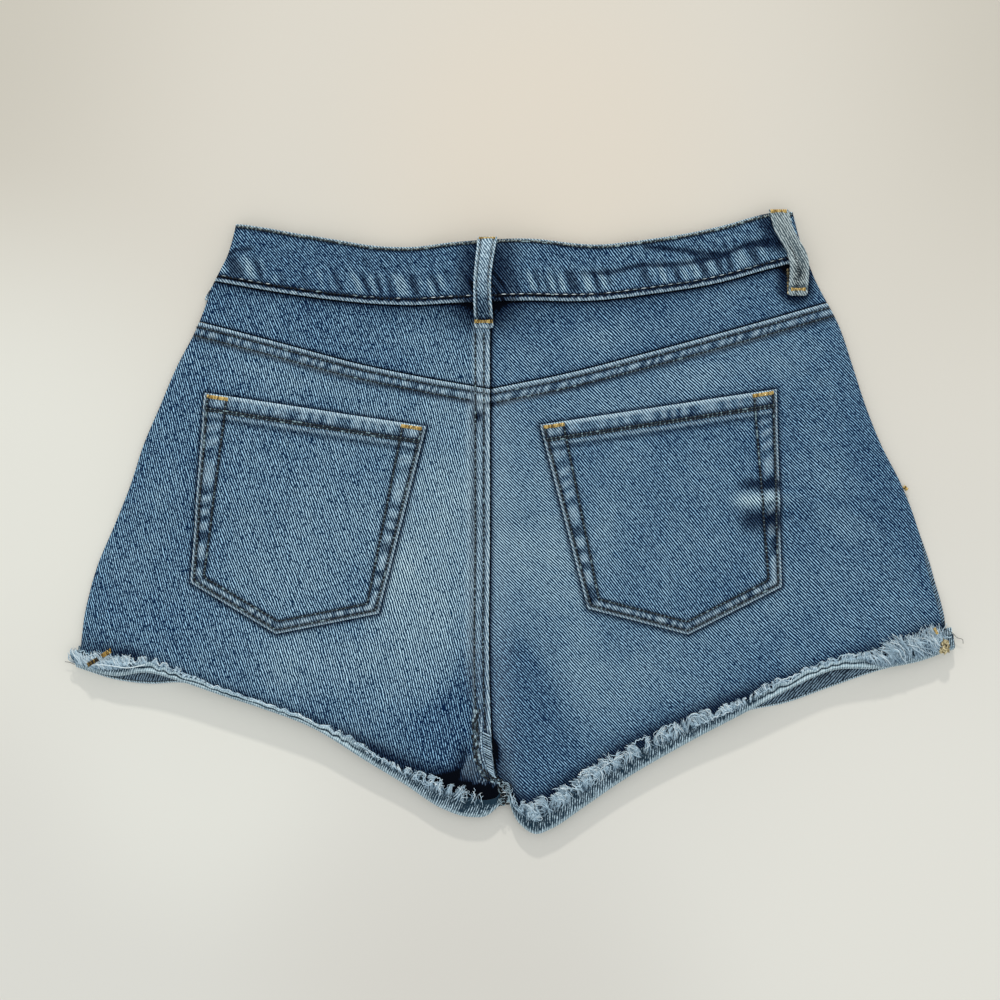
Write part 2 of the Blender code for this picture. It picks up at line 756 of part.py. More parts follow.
def make_fly_shield():
    top = lambda x: waist_seam(x) - 3 * SEAM_GAP
    left, right = CENTRE - SHIELD_HALF, CENTRE + SHIELD_HALF
    place = patch(
        edge_across(top, left, right),
        lambda t: (mix(left + 6, right, t), SHIELD_FOOT - 6 * t),
        straight((left, top(left)), (left + 6, SHIELD_FOOT)),
        straight((right, top(right)), (right, SHIELD_FOOT - 6)),
    )
    rise = CLOTH + INNER_GAP
    under = lambda u, v: (*place(u, v), front_lift(*place(u, v)) + rise)
    over = lambda u, v: (*place(u, v), front_lift(*place(u, v)) + rise + CLOTH)
    wall("fly_shield", denim(), place, over, under, stations(38.0, 13.0), stations(122.0, 14.0, (8.0,)))


def make_waistband_front():
    top = lambda x: waist_top(x) - FRONT_DROP
    for name, sign in (("left", -1), ("right", 1)):
        side = side_left if sign < 0 else side_right
        end = CENTRE + LAP_OUTER if sign < 0 else CENTRE - LAP_INNER
        seam_x = meet(waist_seam, side, 185.0 * sign)
        top_x = meet(top, side, 174.0 * sign)
        place = patch(
            edge_across(top, end, top_x),
            edge_across(waist_seam, end, seam_x),
            straight((end, top(end)), (end, waist_seam(end))),
            edge_down(side, top(top_x), waist_seam(seam_x)),
        )

        def under(u, v, place=place, sign=sign):
            x, y = place(u, v)
            lap = 1 - ramp(CENTRE + LAP_OUTER + 1, CENTRE + LAP_OUTER + LAP_RAMP, x)
            return x, y, front_lift(x, y) + (lap * (WAISTBAND + INNER_GAP) if sign > 0 else 0.0)

        def over(u, v, under=under):
            x, y, z = under(u, v)
            return x, y, z + WAISTBAND

        length = abs(top_x - end)
        reach = LAP_OUTER if sign < 0 else LAP_INNER
        hole_edges = (reach - BUTTONHOLE / 2, reach + BUTTONHOLE / 2)
        ends = (*hole_edges, reach + 16.0, reach + 30.0) if sign < 0 else (reach, reach + 20.0, reach + 34.0)
        us = stations(length, 11.0, ends, ())
        middle = 0.5 * (top(CENTRE) + waist_seam(CENTRE))
        low = (top(CENTRE) - middle - BUTTONHOLE / 2) / (top(CENTRE) - waist_seam(CENTRE))
        vs = [0.0, low, 1 - low, 1.0]
        in_hole = lambda x, y, middle=middle: max(abs(x - CENTRE), abs(y - middle)) < BUTTONHOLE / 2
        wall(f"waistband_front_{name}", denim(), place, over, under, us, vs, in_hole if sign < 0 else None)


def make_button():
    """A turned shank button, its cap to the floor and its shank through the buttonhole."""
    middle = 0.5 * (waist_top(CENTRE) - FRONT_DROP + waist_seam(CENTRE))
    shank_top = BUTTON_LIFT + WAISTBAND - 0.1
    profile = [
        (0.0, shank_top),
        (SHANK_RADIUS, shank_top),
        (SHANK_RADIUS, BUTTON_CAP),
        (BUTTON_RADIUS - 0.4, BUTTON_CAP),
        (BUTTON_RADIUS, BUTTON_CAP - 0.5),
        (BUTTON_RADIUS, 0.9),
        (BUTTON_RADIUS - 1.1, 0.0),
        (BUTTON_RADIUS - 2.6, 0.0),
        (BUTTON_RADIUS - 3.2, 0.5),
        (0.0, 0.5),
    ]
    mesh = bpy.data.meshes.new("waist_button")
    points = [(radius * MM, 0.0, height * MM) for radius, height in profile]
    mesh.from_pydata(points, [(i, i + 1) for i in range(len(points) - 1)], [])
    mesh.materials.append(material("brass", (0.62, 0.45, 0.25), 0.35, 1.0))
    button = bpy.data.objects.new("waist_button", mesh)
    button.location = (CENTRE * MM, middle * MM, 0.0)
    shorts.objects.link(button)
    turn = button.modifiers.new("turn", "SCREW")
    turn.steps = turn.render_steps = 20
    turn.use_merge_vertices = True
    turn.merge_threshold = 0.00001
    turn.use_normal_calculate = True


def hem_frame(leg, x, edge):
    """The fold point at x, the unit step to the raw edge, and the whole breadth."""
    fold = leg[edge](x)
    slope = (leg[edge](x + 3) - leg[edge](x - 3)) / 6
    slope *= ramp(0.0, 22.0, abs(x - leg["crotch"]))
    run = math.hypot(1.0, slope)
    step = (-slope / run * 0.55, 1 - 0.55 * (1 - 1 / run))
    breadth = (leg["raw"](x) - leg["fold"](x)) if edge == "fold" else 24.0
    return (x, fold), step, breadth


def hem_stations(leg, shares):
    return [mix(leg["crotch"], leg["corner"], share) for share in shares]


def make_cuffs():
    for name, leg in LEGS.items():
        sections = []
        for x in hem_stations(leg, panel_stations(15.0, BACK_STARTS[name])):
            (fx, fy), (sx, sy), breadth = hem_frame(leg, x, "fold")
            band = max(CUFF_LEAST, CUFF_SHARE * breadth)
            lip = CUFF_LIP / abs(sy)

            def at(s, fx=fx, fy=fy, sx=sx, sy=sy):
                return fx + sx * s, fy + sy * s

            edge = at(lip + SEAM_GAP)
            foot = back_inner(*edge)
            crown = back_outer(*edge) + LAY_GAP + CLOTH
            half, full = at(0.5 * (lip + band)), at(band)
            sections.append(
                [
                    (*at(0.0), foot),
                    (*at(0.0), mix(foot, crown, 0.6)),
                    (*at(0.5), crown - 0.35),
                    (*at(lip + 0.3), crown),
                    (*half, back_outer(*half) + LAY_GAP + CLOTH),
                    (*full, back_outer(*full) + LAY_GAP + CLOTH),
                    (*full, back_outer(*full) + LAY_GAP),
                    (*half, back_outer(*half) + LAY_GAP),
                    (*at(lip), back_outer(*edge) + LAY_GAP),
                    (*at(lip), foot),
                ]
            )
        loft(f"cuff_back_{name}", pale_denim(), sections)
        sections = []
        for x in hem_stations(leg, panel_stations(17.0, ends=(5.0, 11.0))):
            (fx, fy), (sx, sy), _ = hem_frame(leg, x, "front")
            lip = CUFF_LIP / abs(sy)
            edge = fx + sx * lip, fy + sy * lip
            far = fx + sx * FRONT_CUFF, fy + sy * FRONT_CUFF
            crown = FRONT_CUFF_LIFT + CLOTH
            sections.append(
                [
                    (*edge, crown),
                    (fx, fy, 0.7 * crown),
                    (fx, fy, 0.35),
                    (*edge, 0.0),
                    (*far, 0.0),
                    (*far, CLOTH),
                    (*edge, CLOTH),
                ]
            )
        loft(f"cuff_front_{name}", pale_denim(), sections)


def make_frays():
    draw = random.Random(7)
    for name, leg in LEGS.items():
        for half, edge, count in (("back", "fold", STRANDS_BACK), ("front", "front", STRANDS_FRONT)):
            length = abs(leg["corner"] - leg["crotch"]) - FRAY_START - 3.0
            sign = leg["sign"]
            start = leg["crotch"] + sign * FRAY_START
            pitch = (length - 8.0) / count
            sections = []
            steps = []
            for i in range(count):
                for offset in (0.0, FRAY_WIDTH):
                    x = start + sign * (i * pitch + offset)
                    (fx, fy), (sx, sy), breadth = hem_frame(leg, x, edge)
                    band = max(CUFF_LEAST, CUFF_SHARE * breadth) if half == "back" else FRONT_CUFF
                    root, tip = band + FRAY_GAP, band + FRAY_GAP + FRAY_STRIP
                    near = fx + sx * root, fy + sy * root
                    far = fx + sx * tip, fy + sy * tip
                    low = back_outer(*near) + FRAY_LIFT if half == "back" else FRONT_FRAY_LIFT
                    low_far = back_outer(*far) + FRAY_LIFT if half == "back" else FRONT_FRAY_LIFT
                    sections.append(
                        [
                            (*near, low),
                            (*near, low + FRAY_THICK),
                            (*far, low_far + FRAY_THICK),
                            (*far, low_far),
                        ]
                    )
                free = max(breadth - band - FRAY_GAP - FRAY_STRIP, FRAY_LEAST) if half == "back" else 6.0
                steps.append((sx * free, sy * free))

            def fringe(bm, sides, half=half, steps=steps):
                """One strand from each strip face that looks away from the fold."""
                faces = [sides[8 * i + 2] for i in range(len(steps))]
                tips = bmesh.ops.extrude_discrete_faces(bm, faces=faces)["faces"]
                for tip, (dx, dy) in zip(tips, steps):
                    share = draw.uniform(0.65, 1.1)
                    sway = draw.uniform(-0.5, 0.5) * 0.5 * math.hypot(dx, dy)
                    rise = draw.uniform(0.5, 1.8) if half == "back" else 0.0
                    move = ((dx * share + sway) * MM, dy * share * MM, rise * MM)
                    middle = tip.calc_center_median()
                    for vert in tip.verts:
                        vert.co = middle + (vert.co - middle) * 0.5
                    bmesh.ops.translate(bm, verts=tip.verts[:], vec=move)

            loft(f"fray_{half}_{name}", pale_denim(), sections, fringe)


for item in list(bpy.data.objects):
    bpy.data.objects.remove(item, do_unlink=True)
shorts = bpy.data.collections.new("denim_shorts")
bpy.context.scene.collection.children.link(shorts)

make_back_panels()
make_yokes()
make_waistband_back()
make_pockets()
make_loops()
make_front_panels()
make_fly_shield()
make_waistband_front()
make_button()
make_cuffs()
make_frays()
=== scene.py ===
import math

import bpy
import numpy as np
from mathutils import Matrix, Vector


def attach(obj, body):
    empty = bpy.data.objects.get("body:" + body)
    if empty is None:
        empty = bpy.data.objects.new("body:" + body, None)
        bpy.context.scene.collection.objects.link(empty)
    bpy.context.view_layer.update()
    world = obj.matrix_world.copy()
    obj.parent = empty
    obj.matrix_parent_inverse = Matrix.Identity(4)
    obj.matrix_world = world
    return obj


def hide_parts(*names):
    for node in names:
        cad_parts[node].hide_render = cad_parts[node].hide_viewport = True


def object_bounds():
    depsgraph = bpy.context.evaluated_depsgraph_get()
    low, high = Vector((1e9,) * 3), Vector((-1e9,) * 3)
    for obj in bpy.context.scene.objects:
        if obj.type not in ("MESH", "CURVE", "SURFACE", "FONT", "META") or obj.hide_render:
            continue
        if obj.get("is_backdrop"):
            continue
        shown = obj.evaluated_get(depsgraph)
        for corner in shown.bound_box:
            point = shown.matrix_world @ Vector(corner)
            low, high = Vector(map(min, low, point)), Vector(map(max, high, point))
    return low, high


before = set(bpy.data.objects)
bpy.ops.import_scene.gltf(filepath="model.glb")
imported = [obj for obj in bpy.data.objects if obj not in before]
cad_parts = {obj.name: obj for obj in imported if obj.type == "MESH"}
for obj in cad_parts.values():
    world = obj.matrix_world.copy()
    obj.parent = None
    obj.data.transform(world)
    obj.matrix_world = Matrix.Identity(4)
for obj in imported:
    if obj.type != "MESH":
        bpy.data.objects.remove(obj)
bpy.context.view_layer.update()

mm = 0.001  # lengths below are in millimetres, and colours are linear
dice = np.random.default_rng(11)

# camera and light

view = {
    "middle": (-9.3, 13.95),  # what the camera looks straight down on
    "across": 620.0,  # breadth of the picture at the cloth
    "height": 900.0,
    "clothLevel": 10.0,
    "sensor": 36.0,
    "clip": (0.01, 20.0),  # in metres
    "windowAt": (-250.0, 4650.0, 1850.0),
    "windowSize": 190.0,
    "windowPower": 108.0,
    "windowColour": (1.0, 0.985, 0.95),
    "skyTop": (0.93, 0.975, 1.0),
    "skyStrength": 0.865,
    "floorPaintedNear": (0.742, 0.712, 0.648),  # painted light falloff: the floor's colour towards the hems
    "floorPaintedFar": (0.725, 0.665, 0.575),  # painted light falloff: the floor's warmer, darker colour towards the waist
    # painted shade: the darker floor corners beside the waist
    "floorPaintedCorner": (0.560, 0.515, 0.435),
}


def makeCamera():
    lens = bpy.data.cameras.new("topCamera")
    lens.sensor_width = view["sensor"]
    lens.lens = view["sensor"] * (view["height"] - view["clothLevel"]) / view["across"]
    lens.clip_start, lens.clip_end = view["clip"]
    camera = bpy.data.objects.new("topCamera", lens)
    camera.location = [part * mm for part in (*view["middle"], view["height"])]
    bpy.context.scene.collection.objects.link(camera)
    bpy.context.scene.camera = camera


def makeLights():
    window = bpy.data.lights.new("window", "AREA")
    window.shape = "SQUARE"
    window.size = view["windowSize"] * mm
    window.energy = view["windowPower"]
    window.color = view["windowColour"]
    lamp = bpy.data.objects.new("window", window)
    lamp.location = [part * mm for part in view["windowAt"]]
    aim = Vector((0.0, 0.0, 0.0)) - lamp.location
    lamp.rotation_mode = "QUATERNION"
    lamp.rotation_quaternion = aim.to_track_quat("-Z", "Y")
    bpy.context.scene.collection.objects.link(lamp)
    world = bpy.data.worlds.new("room")
    bpy.context.scene.world = world
    world.use_nodes = True
    sky = world.node_tree.nodes["Background"]
    sky.inputs["Color"].default_value = (*view["skyTop"], 1.0)
    sky.inputs["Strength"].default_value = view["skyStrength"]
    bpy.context.scene.view_settings.view_transform = "Standard"


makeCamera()
makeLights()
print("camera and light")

# the cut, as it lies

lay = {
    "cloth": 1.2,  # one layer of denim
    "band": 3.0,  # the waistband's turned layers
    "felled": 0.8,
    "seamGap": 0.3,
    "layGap": 0.45,
    "innerGap": 0.7,
    "rimGap": 0.45,
    "centre": -15.4,  # x of the centre-back seam
    "sideRoll": 16.0,
    "waistRoll": 8.0,
    "turnIn": 12.0,
    "seatLoft": 2.5,
    "waistLoft": 0.3,
    "legsPart": -150.0,
    "loopWidth": 12.0,
    "loopLift": 2.0,
    "buttonLift": 2.9,
    "lapOuter": 19.0,
    "lapInner": 22.0,
    "lapRamp": 28.0,
    "mouthWidth": 62.0,
    "mouthFoot": 21.0,
    "shieldHalf": 19.0,
    "shieldFoot": 15.0,
    "frontDrop": 2.2,
}

sides = {
    "y": [194, 180, 166.5, 150.4, 122.5, 97.7, 72.9, 48.1, 23.3, -1.6, -26.4, -51.2, -72.9, -95],
    "left": [-172.5, -175.2, -179.2, -187.2, -198.4, -211.4, -222, -232.5, -240.6, -250.5, -261, -267.8,
             -270.8, -272.6],
    "right": [173.5, 177, 181.5, 188.6, 203, 211.4, 219.5, 229.4, 242, 251.5, 257.5, 264, 269, 272.4],
}
waist = {
    "x": [-190, -174.2, -151, -113.5, -89.9, -66.3, -34, 12.4, 52.7, 86.8, 127.7, 160, 190],
    "top": [187, 185.7, 182.4, 176, 172.4, 171.4, 173.9, 175.8, 173, 176.4, 184.3, 192.8, 193.6],
    "seam": [151, 148, 144.2, 138.6, 136.5, 135.5, 136.3, 137.8, 138.6, 142.5, 149.7, 158.5, 166],
}
centreLine = {"y": [200, 0, -110, -150, -178], "x": [-15.4, -15.4, -15.4, -13.2, -8.6]}
yokeSeamLeft = {"x": [-201, -153.8, -100.4, -58.9, -15], "y": [126, 113.8, 99.5, 90.8, 82.8]}
yokeSeamRight = {"x": [-16, 34.1, 78.1, 144.5, 199], "y": [82.8, 93.3, 104.5, 122.5, 138.2]}
hemLeft = {  # fold: lower edge of the turned-up hem; raw: upper limit of its fray
    "x": [-9, -16.7, -27.9, -46.5, -68.8, -93, -124.6, -158.1, -182.9, -208.3, -228.2, -250.5, -274.4],
    "fold": [-175.8, -182.6, -183.8, -178, -163.4, -148.5, -128.7, -115.6, -107.6, -98.9, -93.6, -95.8,
             -89.2],
    "raw": [-167.6, -166.4, -163, -157.4, -149.6, -138.4, -124.2, -111.8, -103.4, -94, -86.8, -79.8, -73.2],
    "front": [-173.5, -180, -181.5, -175.8, -161.6, -147, -127.4, -114.6, -107.4, -100.4, -101, -98.2, -90.6],
    "loft": [0.3, 0.3, 0.4, 0.5, 0.8, 1.6, 2.6, 2.8, 2.8, 3.0, 3.2, 1.2, 0.3],
}
hemRight = {
    "x": [-4.4, -1.2, 5.6, 13, 21.7, 43.4, 64.5, 106.6, 143.8, 169.3, 196.5, 228.2, 253, 274.6],
    "fold": [-172, -181.4, -190.6, -194.4, -191.6, -177.4, -162.8, -138, -118.1, -104.6, -92.4, -91, -86.5,
             -78.6],
    "raw": [-164.8, -169.4, -173.2, -171.8, -166.4, -153, -140.6, -121.2, -107.2, -97.4, -86.8, -79.4, -68.6,
            -63.4],
    "front": [-169.4, -178.6, -187.8, -191.8, -189, -175.6, -161.2, -136.8, -118.6, -113, -103.4, -92.6,
              -86.3, -79.6],
    "loft": [0.3, 0.3, 0.3, 0.4, 0.4, 0.5, 0.6, 1.2, 2.6, 3.0, 3.2, 1.6, 0.6, 0.3],
}
pockets = {
    "Left": [(-192.8, 80.6), (-55.2, 59.8), (-84.9, -56.7), (-148.8, -69.4), (-202.1, -37.5)],
    "Right": [(15.5, 60.8), (162.4, 82.8), (166.2, -40.0), (107.9, -69.8), (45.3, -53.6)],
}
loopRoutes = {
    "Centre": [(-17.0, 176.4), (-20.2, 150.0), (-19.2, 120.6)],
    "Right": [(163.8, 194.4), (167.0, 182.0), (175.2, 166.5), (176.0, 141.0)],
    "Left": [(-165.0, 181.0), (-176.0, 160.0), (-189.0, 139.0)],
    "FrontLeft": [(-112.0, 173.5), (-113.5, 150.0), (-113.5, 121.0)],
    "FrontRight": [(82.0, 173.0), (83.0, 150.0), (83.0, 122.0)],
}
softFolds = {  # the broad folds: middle, length, half width, height, and turn from +x
    "x": [-120, -215, 190, 212, 60, 5, 110],
    "y": [-85, 20, 22, -25, -120, -135, 130],
    "length": [90, 110, 60, 100, 80, 60, 90],
    "spread": [22, 16, 12, 16, 22, 12, 12],
    "height": [0.7, 0.6, 0.9, 0.6, 0.7, 0.9, 0.5],
    "turn": [-25, 68, 8, 112, 28, 100, 14],
}


def hermite(values, slopes, i, t, h):  # the soft course between the places i and i + 1
    start = (1 + 2 * t) * (1 - t) ** 2 * values[i] + t * (1 - t) ** 2 * h * slopes[i]
    return start + t * t * (3 - 2 * t) * values[i + 1] + t * t * (t - 1) * h * slopes[i + 1]


def curve(table, along, value):
    order = np.argsort(table[along])
    xs = np.array(table[along], float)[order]
    ys = np.array(table[value], float)[order]
    slopes = np.gradient(ys, xs)

    def at(x):
        x = np.clip(x, xs[0], xs[-1])
        i = np.clip(np.searchsorted(xs, x) - 1, 0, len(xs) - 2)
        h = xs[i + 1] - xs[i]
        return hermite(ys, slopes, i, (x - xs[i]) / h, h)

    return at


def mix(a, b, share):
    return a + (b - a) * share


def ramp(low, high, x):
    t = np.clip((x - low) / (high - low), 0.0, 1.0)
    return t * t * (3 - 2 * t)


def fall(low, high, x):
    return 1 - ramp(low, high, x)


def quarter(t):
    return np.sqrt(1 - (1 - np.clip(t, 0.0, 1.0)) ** 2)


def bell(x, middle, width):
    return np.exp(-(((x - middle) / width) ** 2))


def unit(x):
    return np.clip(x, 0, 1)


def spatial(x, y, z):  # points from their three coordinates
    return np.stack([x, y, z], -1)


def fromEnds(u, v, breadth, depth):  # distance from the nearest edge of a patch
    return np.minimum(np.minimum(u, 1 - u) * breadth, np.minimum(v, 1 - v) * depth)


def clothMasks(fade, rub, dark):
    return {"fade": fade, "rub": unit(rub), "dark": unit(dark)}


def ripple(s, pitch, seed):  # an uneven wave along a seam, from -1 to 1
    turn = s / pitch + 0.33 * np.sin(s / pitch * 1.7 + seed) + 0.21 * np.sin(s / pitch * 0.83 + 2.3 * seed)
    swell = 0.7 + 0.3 * np.sin(s / pitch * 0.61 + 3.1 * seed)
    return np.sin(2 * np.pi * turn + seed) * swell


sideLeft = curve(sides, "y", "left")
sideRight = curve(sides, "y", "right")
waistTop = curve(waist, "x", "top")
waistSeam = curve(waist, "x", "seam")
centreSeam = curve(centreLine, "y", "x")


def legCurves(sign, side, yokeSeam, hem):
    leg = {name: curve(hem, "x", name) for name in ("fold", "raw", "front", "loft")}
    leg.update(sign=sign, side=side, yoke=curve(yokeSeam, "x", "y"), crotch=hem["x"][0], corner=hem["x"][-1])
    return leg


legs = {
    "Left": legCurves(-1, sideLeft, yokeSeamLeft, hemLeft),
    "Right": legCurves(1, sideRight, yokeSeamRight, hemRight),
}


def bothLegs(name, x):
    return np.where(x < lay["centre"] + 6, legs["Left"][name](x), legs["Right"][name](x))


def sideDistance(x, y):
    return np.minimum(x - sideLeft(y), sideRight(y) - x)


def routeAt(route, y):
    return np.interp(y, [p[1] for p in reversed(route)], [p[0] for p in reversed(route)])


def frontLift(x, y):
    lift = (lay["cloth"] + lay["seamGap"]) * fall(31, 50, y - bothLegs("front", x))
    reach = np.hypot(x - lay["centre"], (y - 154) * 0.8)
    lift = np.maximum(lift, lay["buttonLift"] * fall(11, 45, reach))
    for name in ("Left", "FrontLeft", "FrontRight"):
        route = loopRoutes[name]
        across = np.abs(x - routeAt(route, y))
        foot = route[-1][1]
        share = fall(lay["loopWidth"] / 2 + 2, 30, across) * ramp(foot - 30, foot - 10, y)
        lift = np.maximum(lift, lay["loopLift"] * share)
    return lift


def lapLift(x):  # the inner end of the waistband lies on the outer one
    return (lay["band"] + lay["innerGap"]) * (
        1 - ramp(lay["centre"] + lay["lapOuter"] + 1, lay["centre"] + lay["lapOuter"] + lay["lapRamp"], x)
    )


def frontTop(x, y, share):
    centre = lay["centre"]
    side = sideDistance(x, y)
    facing = fall(lay["mouthWidth"] + 30, lay["mouthWidth"] + 55, side) * ramp(
        -14, 4, y - lay["mouthFoot"] + 12
    )
    shield = fall(lay["shieldHalf"] + 2, lay["shieldHalf"] + 16, np.abs(x - centre)) * ramp(
        lay["shieldFoot"] - 22, lay["shieldFoot"] - 4, y
    )
    panel = lay["cloth"] + (lay["cloth"] + lay["innerGap"]) * np.maximum(facing, shield)
    inner = centre - lay["lapInner"]
    lap = (lay["band"] + lay["innerGap"]) * ramp(inner - 30, inner - 3, x)
    lap = lap * fall(centre + lay["lapOuter"] + 1, centre + lay["lapOuter"] + lay["lapRamp"] + 4, x)
    return frontLift(x, y) + mix(panel, lay["band"] + lap, share)


def foldField(table, x, y):
    total = np.zeros_like(x)
    for i, angle in enumerate(table["turn"]):
        turn = math.radians(angle)
        dx, dy = x - table["x"][i], y - table["y"][i]
        along = dx * math.cos(turn) + dy * math.sin(turn)
        across = -dx * math.sin(turn) + dy * math.cos(turn)
        shape = np.exp(-((along / table["length"][i] * 2) ** 2) - (across / table["spread"][i]) ** 2)
        total = total + table["height"][i] * shape
    return total


creases = {  # smaller creases of the back, in the same columns
    "x": [158, 160, 160, 196, 204, 216, -44, -30, -62, 28, -6, 1.5, 16, -98, -150, -236, -228, 96, 60],
    "y": [21, 13.4, 4.5, 14, -2, -22, -136, -152, -120, -128, -146, -142, -150, -108, -92, 34, -20, 108, 120],
    "length": [46, 40, 44, 60, 66, 70, 60, 44, 60, 66, 60, 50, 50, 70, 90, 60, 50, 60, 60],
    "spread": [3.6, 4.0, 4.6, 5, 6, 7, 6, 5, 7, 7, 4.2, 3.4, 6, 8, 8, 7, 8, 5, 5],
    "height": [-0.55, 1.2, -0.75, -0.5, 0.45, -0.45, -0.5, 0.5, 0.4, -0.5, 1.0, -1.0, 0.4, -0.4, 0.35, -0.35,
               0.35, -0.3, 0.3],
    "turn": [4, 2, 0, -14, -20, -26, 62, 70, 50, 118, 106, 106, 110, 40, -20, 66, 66, 20, 16],
}


def backLoft(x, y):
    rise = y - bothLegs("fold", x)
    seat = lay["seatLoft"] + 0.5 * foldField(softFolds, x, y) * ramp(20, 50, rise)
    seat = mix(bothLegs("loft", x), seat, ramp(2, 34, rise))
    return mix(seat, lay["waistLoft"], ramp(-70, -2, y - waistSeam(x)))


def backHeight(x, y, share, thick, below):
    rim = frontLift(x, y) + mix(lay["cloth"], lay["band"] + lay["seamGap"], share) + lay["rimGap"]
    crown = frontTop(x, y, share) + lay["seamGap"] * share + lay["rimGap"] + backLoft(x, y) + thick - below
    roll = mix(lay["sideRoll"], lay["waistRoll"], share)
    reach = quarter((sideDistance(x, y) - below) / (roll - below))
    return rim + (crown - rim + foldField(creases, x, y) * (1 - share)) * reach


def waistShare(x, y):
    return ramp(-14, -1, y - waistSeam(x))


def backOuter(x, y):
    return backHeight(x, y, waistShare(x, y), lay["cloth"], 0.0)


def backInner(x, y):
    return backHeight(x, y, waistShare(x, y), lay["cloth"], lay["cloth"])


def bandOuter(x, y):
    return backHeight(x, y, np.ones_like(x), lay["band"], 0.0)


def bandInner(x, y):
    return backHeight(x, y, np.ones_like(x), lay["band"], lay["band"])


# outlines and grids

def stations(length, pitch, marks=()):  # shares of a length: even steps, closer at the ends and marks
    edge = [0.0, 0.25, 0.7, 1.4]
    even = np.linspace(0, length, max(2, round(length / pitch)) + 1)
    wanted = np.concatenate([edge, [length - e for e in edge], *[[m, m + 0.45] for m in marks]])
    apart = np.abs(even[:, None] - wanted[None, :]).min(1)
    every = np.concatenate([even[apart > 0.45 * pitch], wanted])
    return np.unique(np.round(every, 4)) / length


def patch(top, bottom, inner, outer):
    corners = top(0.0), top(1.0), bottom(0.0), bottom(1.0)

    def at(u, v):
        edges = top(u), bottom(u), inner(v), outer(v)
        point = []
        for k in (0, 1):
            ruled = mix(edges[0][k], edges[1][k], v) + mix(edges[2][k], edges[3][k], u)
            flat = mix(mix(corners[0][k], corners[1][k], u), mix(corners[2][k], corners[3][k], u), v)
            point.append(ruled - flat)
        return point

    return at


def edgeAcross(height, start, end, shift=0.0):
    return lambda t: (mix(start, end, t), height(mix(start, end, t)) + shift)


def edgeDown(place, start, end, shift=0.0):
    return lambda t: (place(mix(start, end, t)) + shift, mix(start, end, t))


def straight(start, end):
    return lambda t: (mix(start[0], end[0], t), mix(start[1], end[1], t))


def innerEdge(leg, topY, footY):
    halfGap = 0.65 * lay["seamGap"] * leg["sign"]
    leaving = leg["crotch"] - centreSeam(footY) - halfGap

    def at(t):
        y = mix(topY, footY, t)
        return centreSeam(y) + halfGap + leaving * ramp(0, lay["legsPart"] - footY, lay["legsPart"] - y), y

    return at


def startBeside(leg):
    return lay["centre"] + 0.65 * lay["seamGap"] * leg["sign"]


def hemEdge(leg, edge):
    return lambda x: leg[edge](x) + 1.8 + 2.2 * fall(0, 14, np.abs(x - leg["crotch"]))


def meet(height, place, x):
    for _ in range(30):
        x = mix(x, place(height(x)), 0.7)
    return float(x)


def lineAcross(height, start, end, shift=0.0, steps=60):
    x = np.linspace(start, end, steps)
    y = height(x)
    slope = np.gradient(y, x)
    run = np.hypot(1, slope)
    return np.stack([x - shift * slope / run, y + shift / run], 1)


def alongLine(x, y, line):  # distance from a line, and how far along it the nearest place is
    line = np.asarray(line, float)
    start, step = line[:-1], np.diff(line, axis=0)
    length = np.hypot(step[:, 0], step[:, 1])
    begun = np.concatenate([[0], np.cumsum(length)[:-1]])
    px, py = x.reshape(-1, 1) - start[:, 0], y.reshape(-1, 1) - start[:, 1]
    share = unit((px * step[:, 0] + py * step[:, 1]) / length**2)
    away = np.hypot(px - share * step[:, 0], py - share * step[:, 1])
    nearest = away.argmin(1)
    rows = np.arange(len(nearest))
    far = begun[nearest] + share[rows, nearest] * length[nearest]
    return away[rows, nearest].reshape(x.shape), far.reshape(x.shape)


def awayFrom(x, y, line):
    return alongLine(x, y, line)[0]


# meshes

def keepMesh(name, verts, faces, material, uv=None, masks=None, inside=None):
    mesh = bpy.data.meshes.new(name)
    mesh.from_pydata(verts * mm, [], faces)
    if uv is not None:
        corner = np.zeros(len(mesh.loops), np.int32)
        mesh.loops.foreach_get("vertex_index", corner)
        flat = (uv[corner] * mm).astype(np.float32).ravel()
        mesh.uv_layers.new(name="cloth").uv.foreach_set("vector", flat)
    for key, values in (masks or {}).items():
        made = mesh.attributes.new(key, "FLOAT", "POINT")
        made.data.foreach_set("value", np.asarray(values, np.float32).ravel())
    mesh.materials.append(material)
    if inside is not None:
        mesh.materials.append(inside[0])
        mesh.polygons.foreach_set("material_index", inside[1])
    mesh.shade_smooth()
    piece = bpy.data.objects.new(name, mesh)
    bpy.context.scene.collection.objects.link(piece)
    return piece


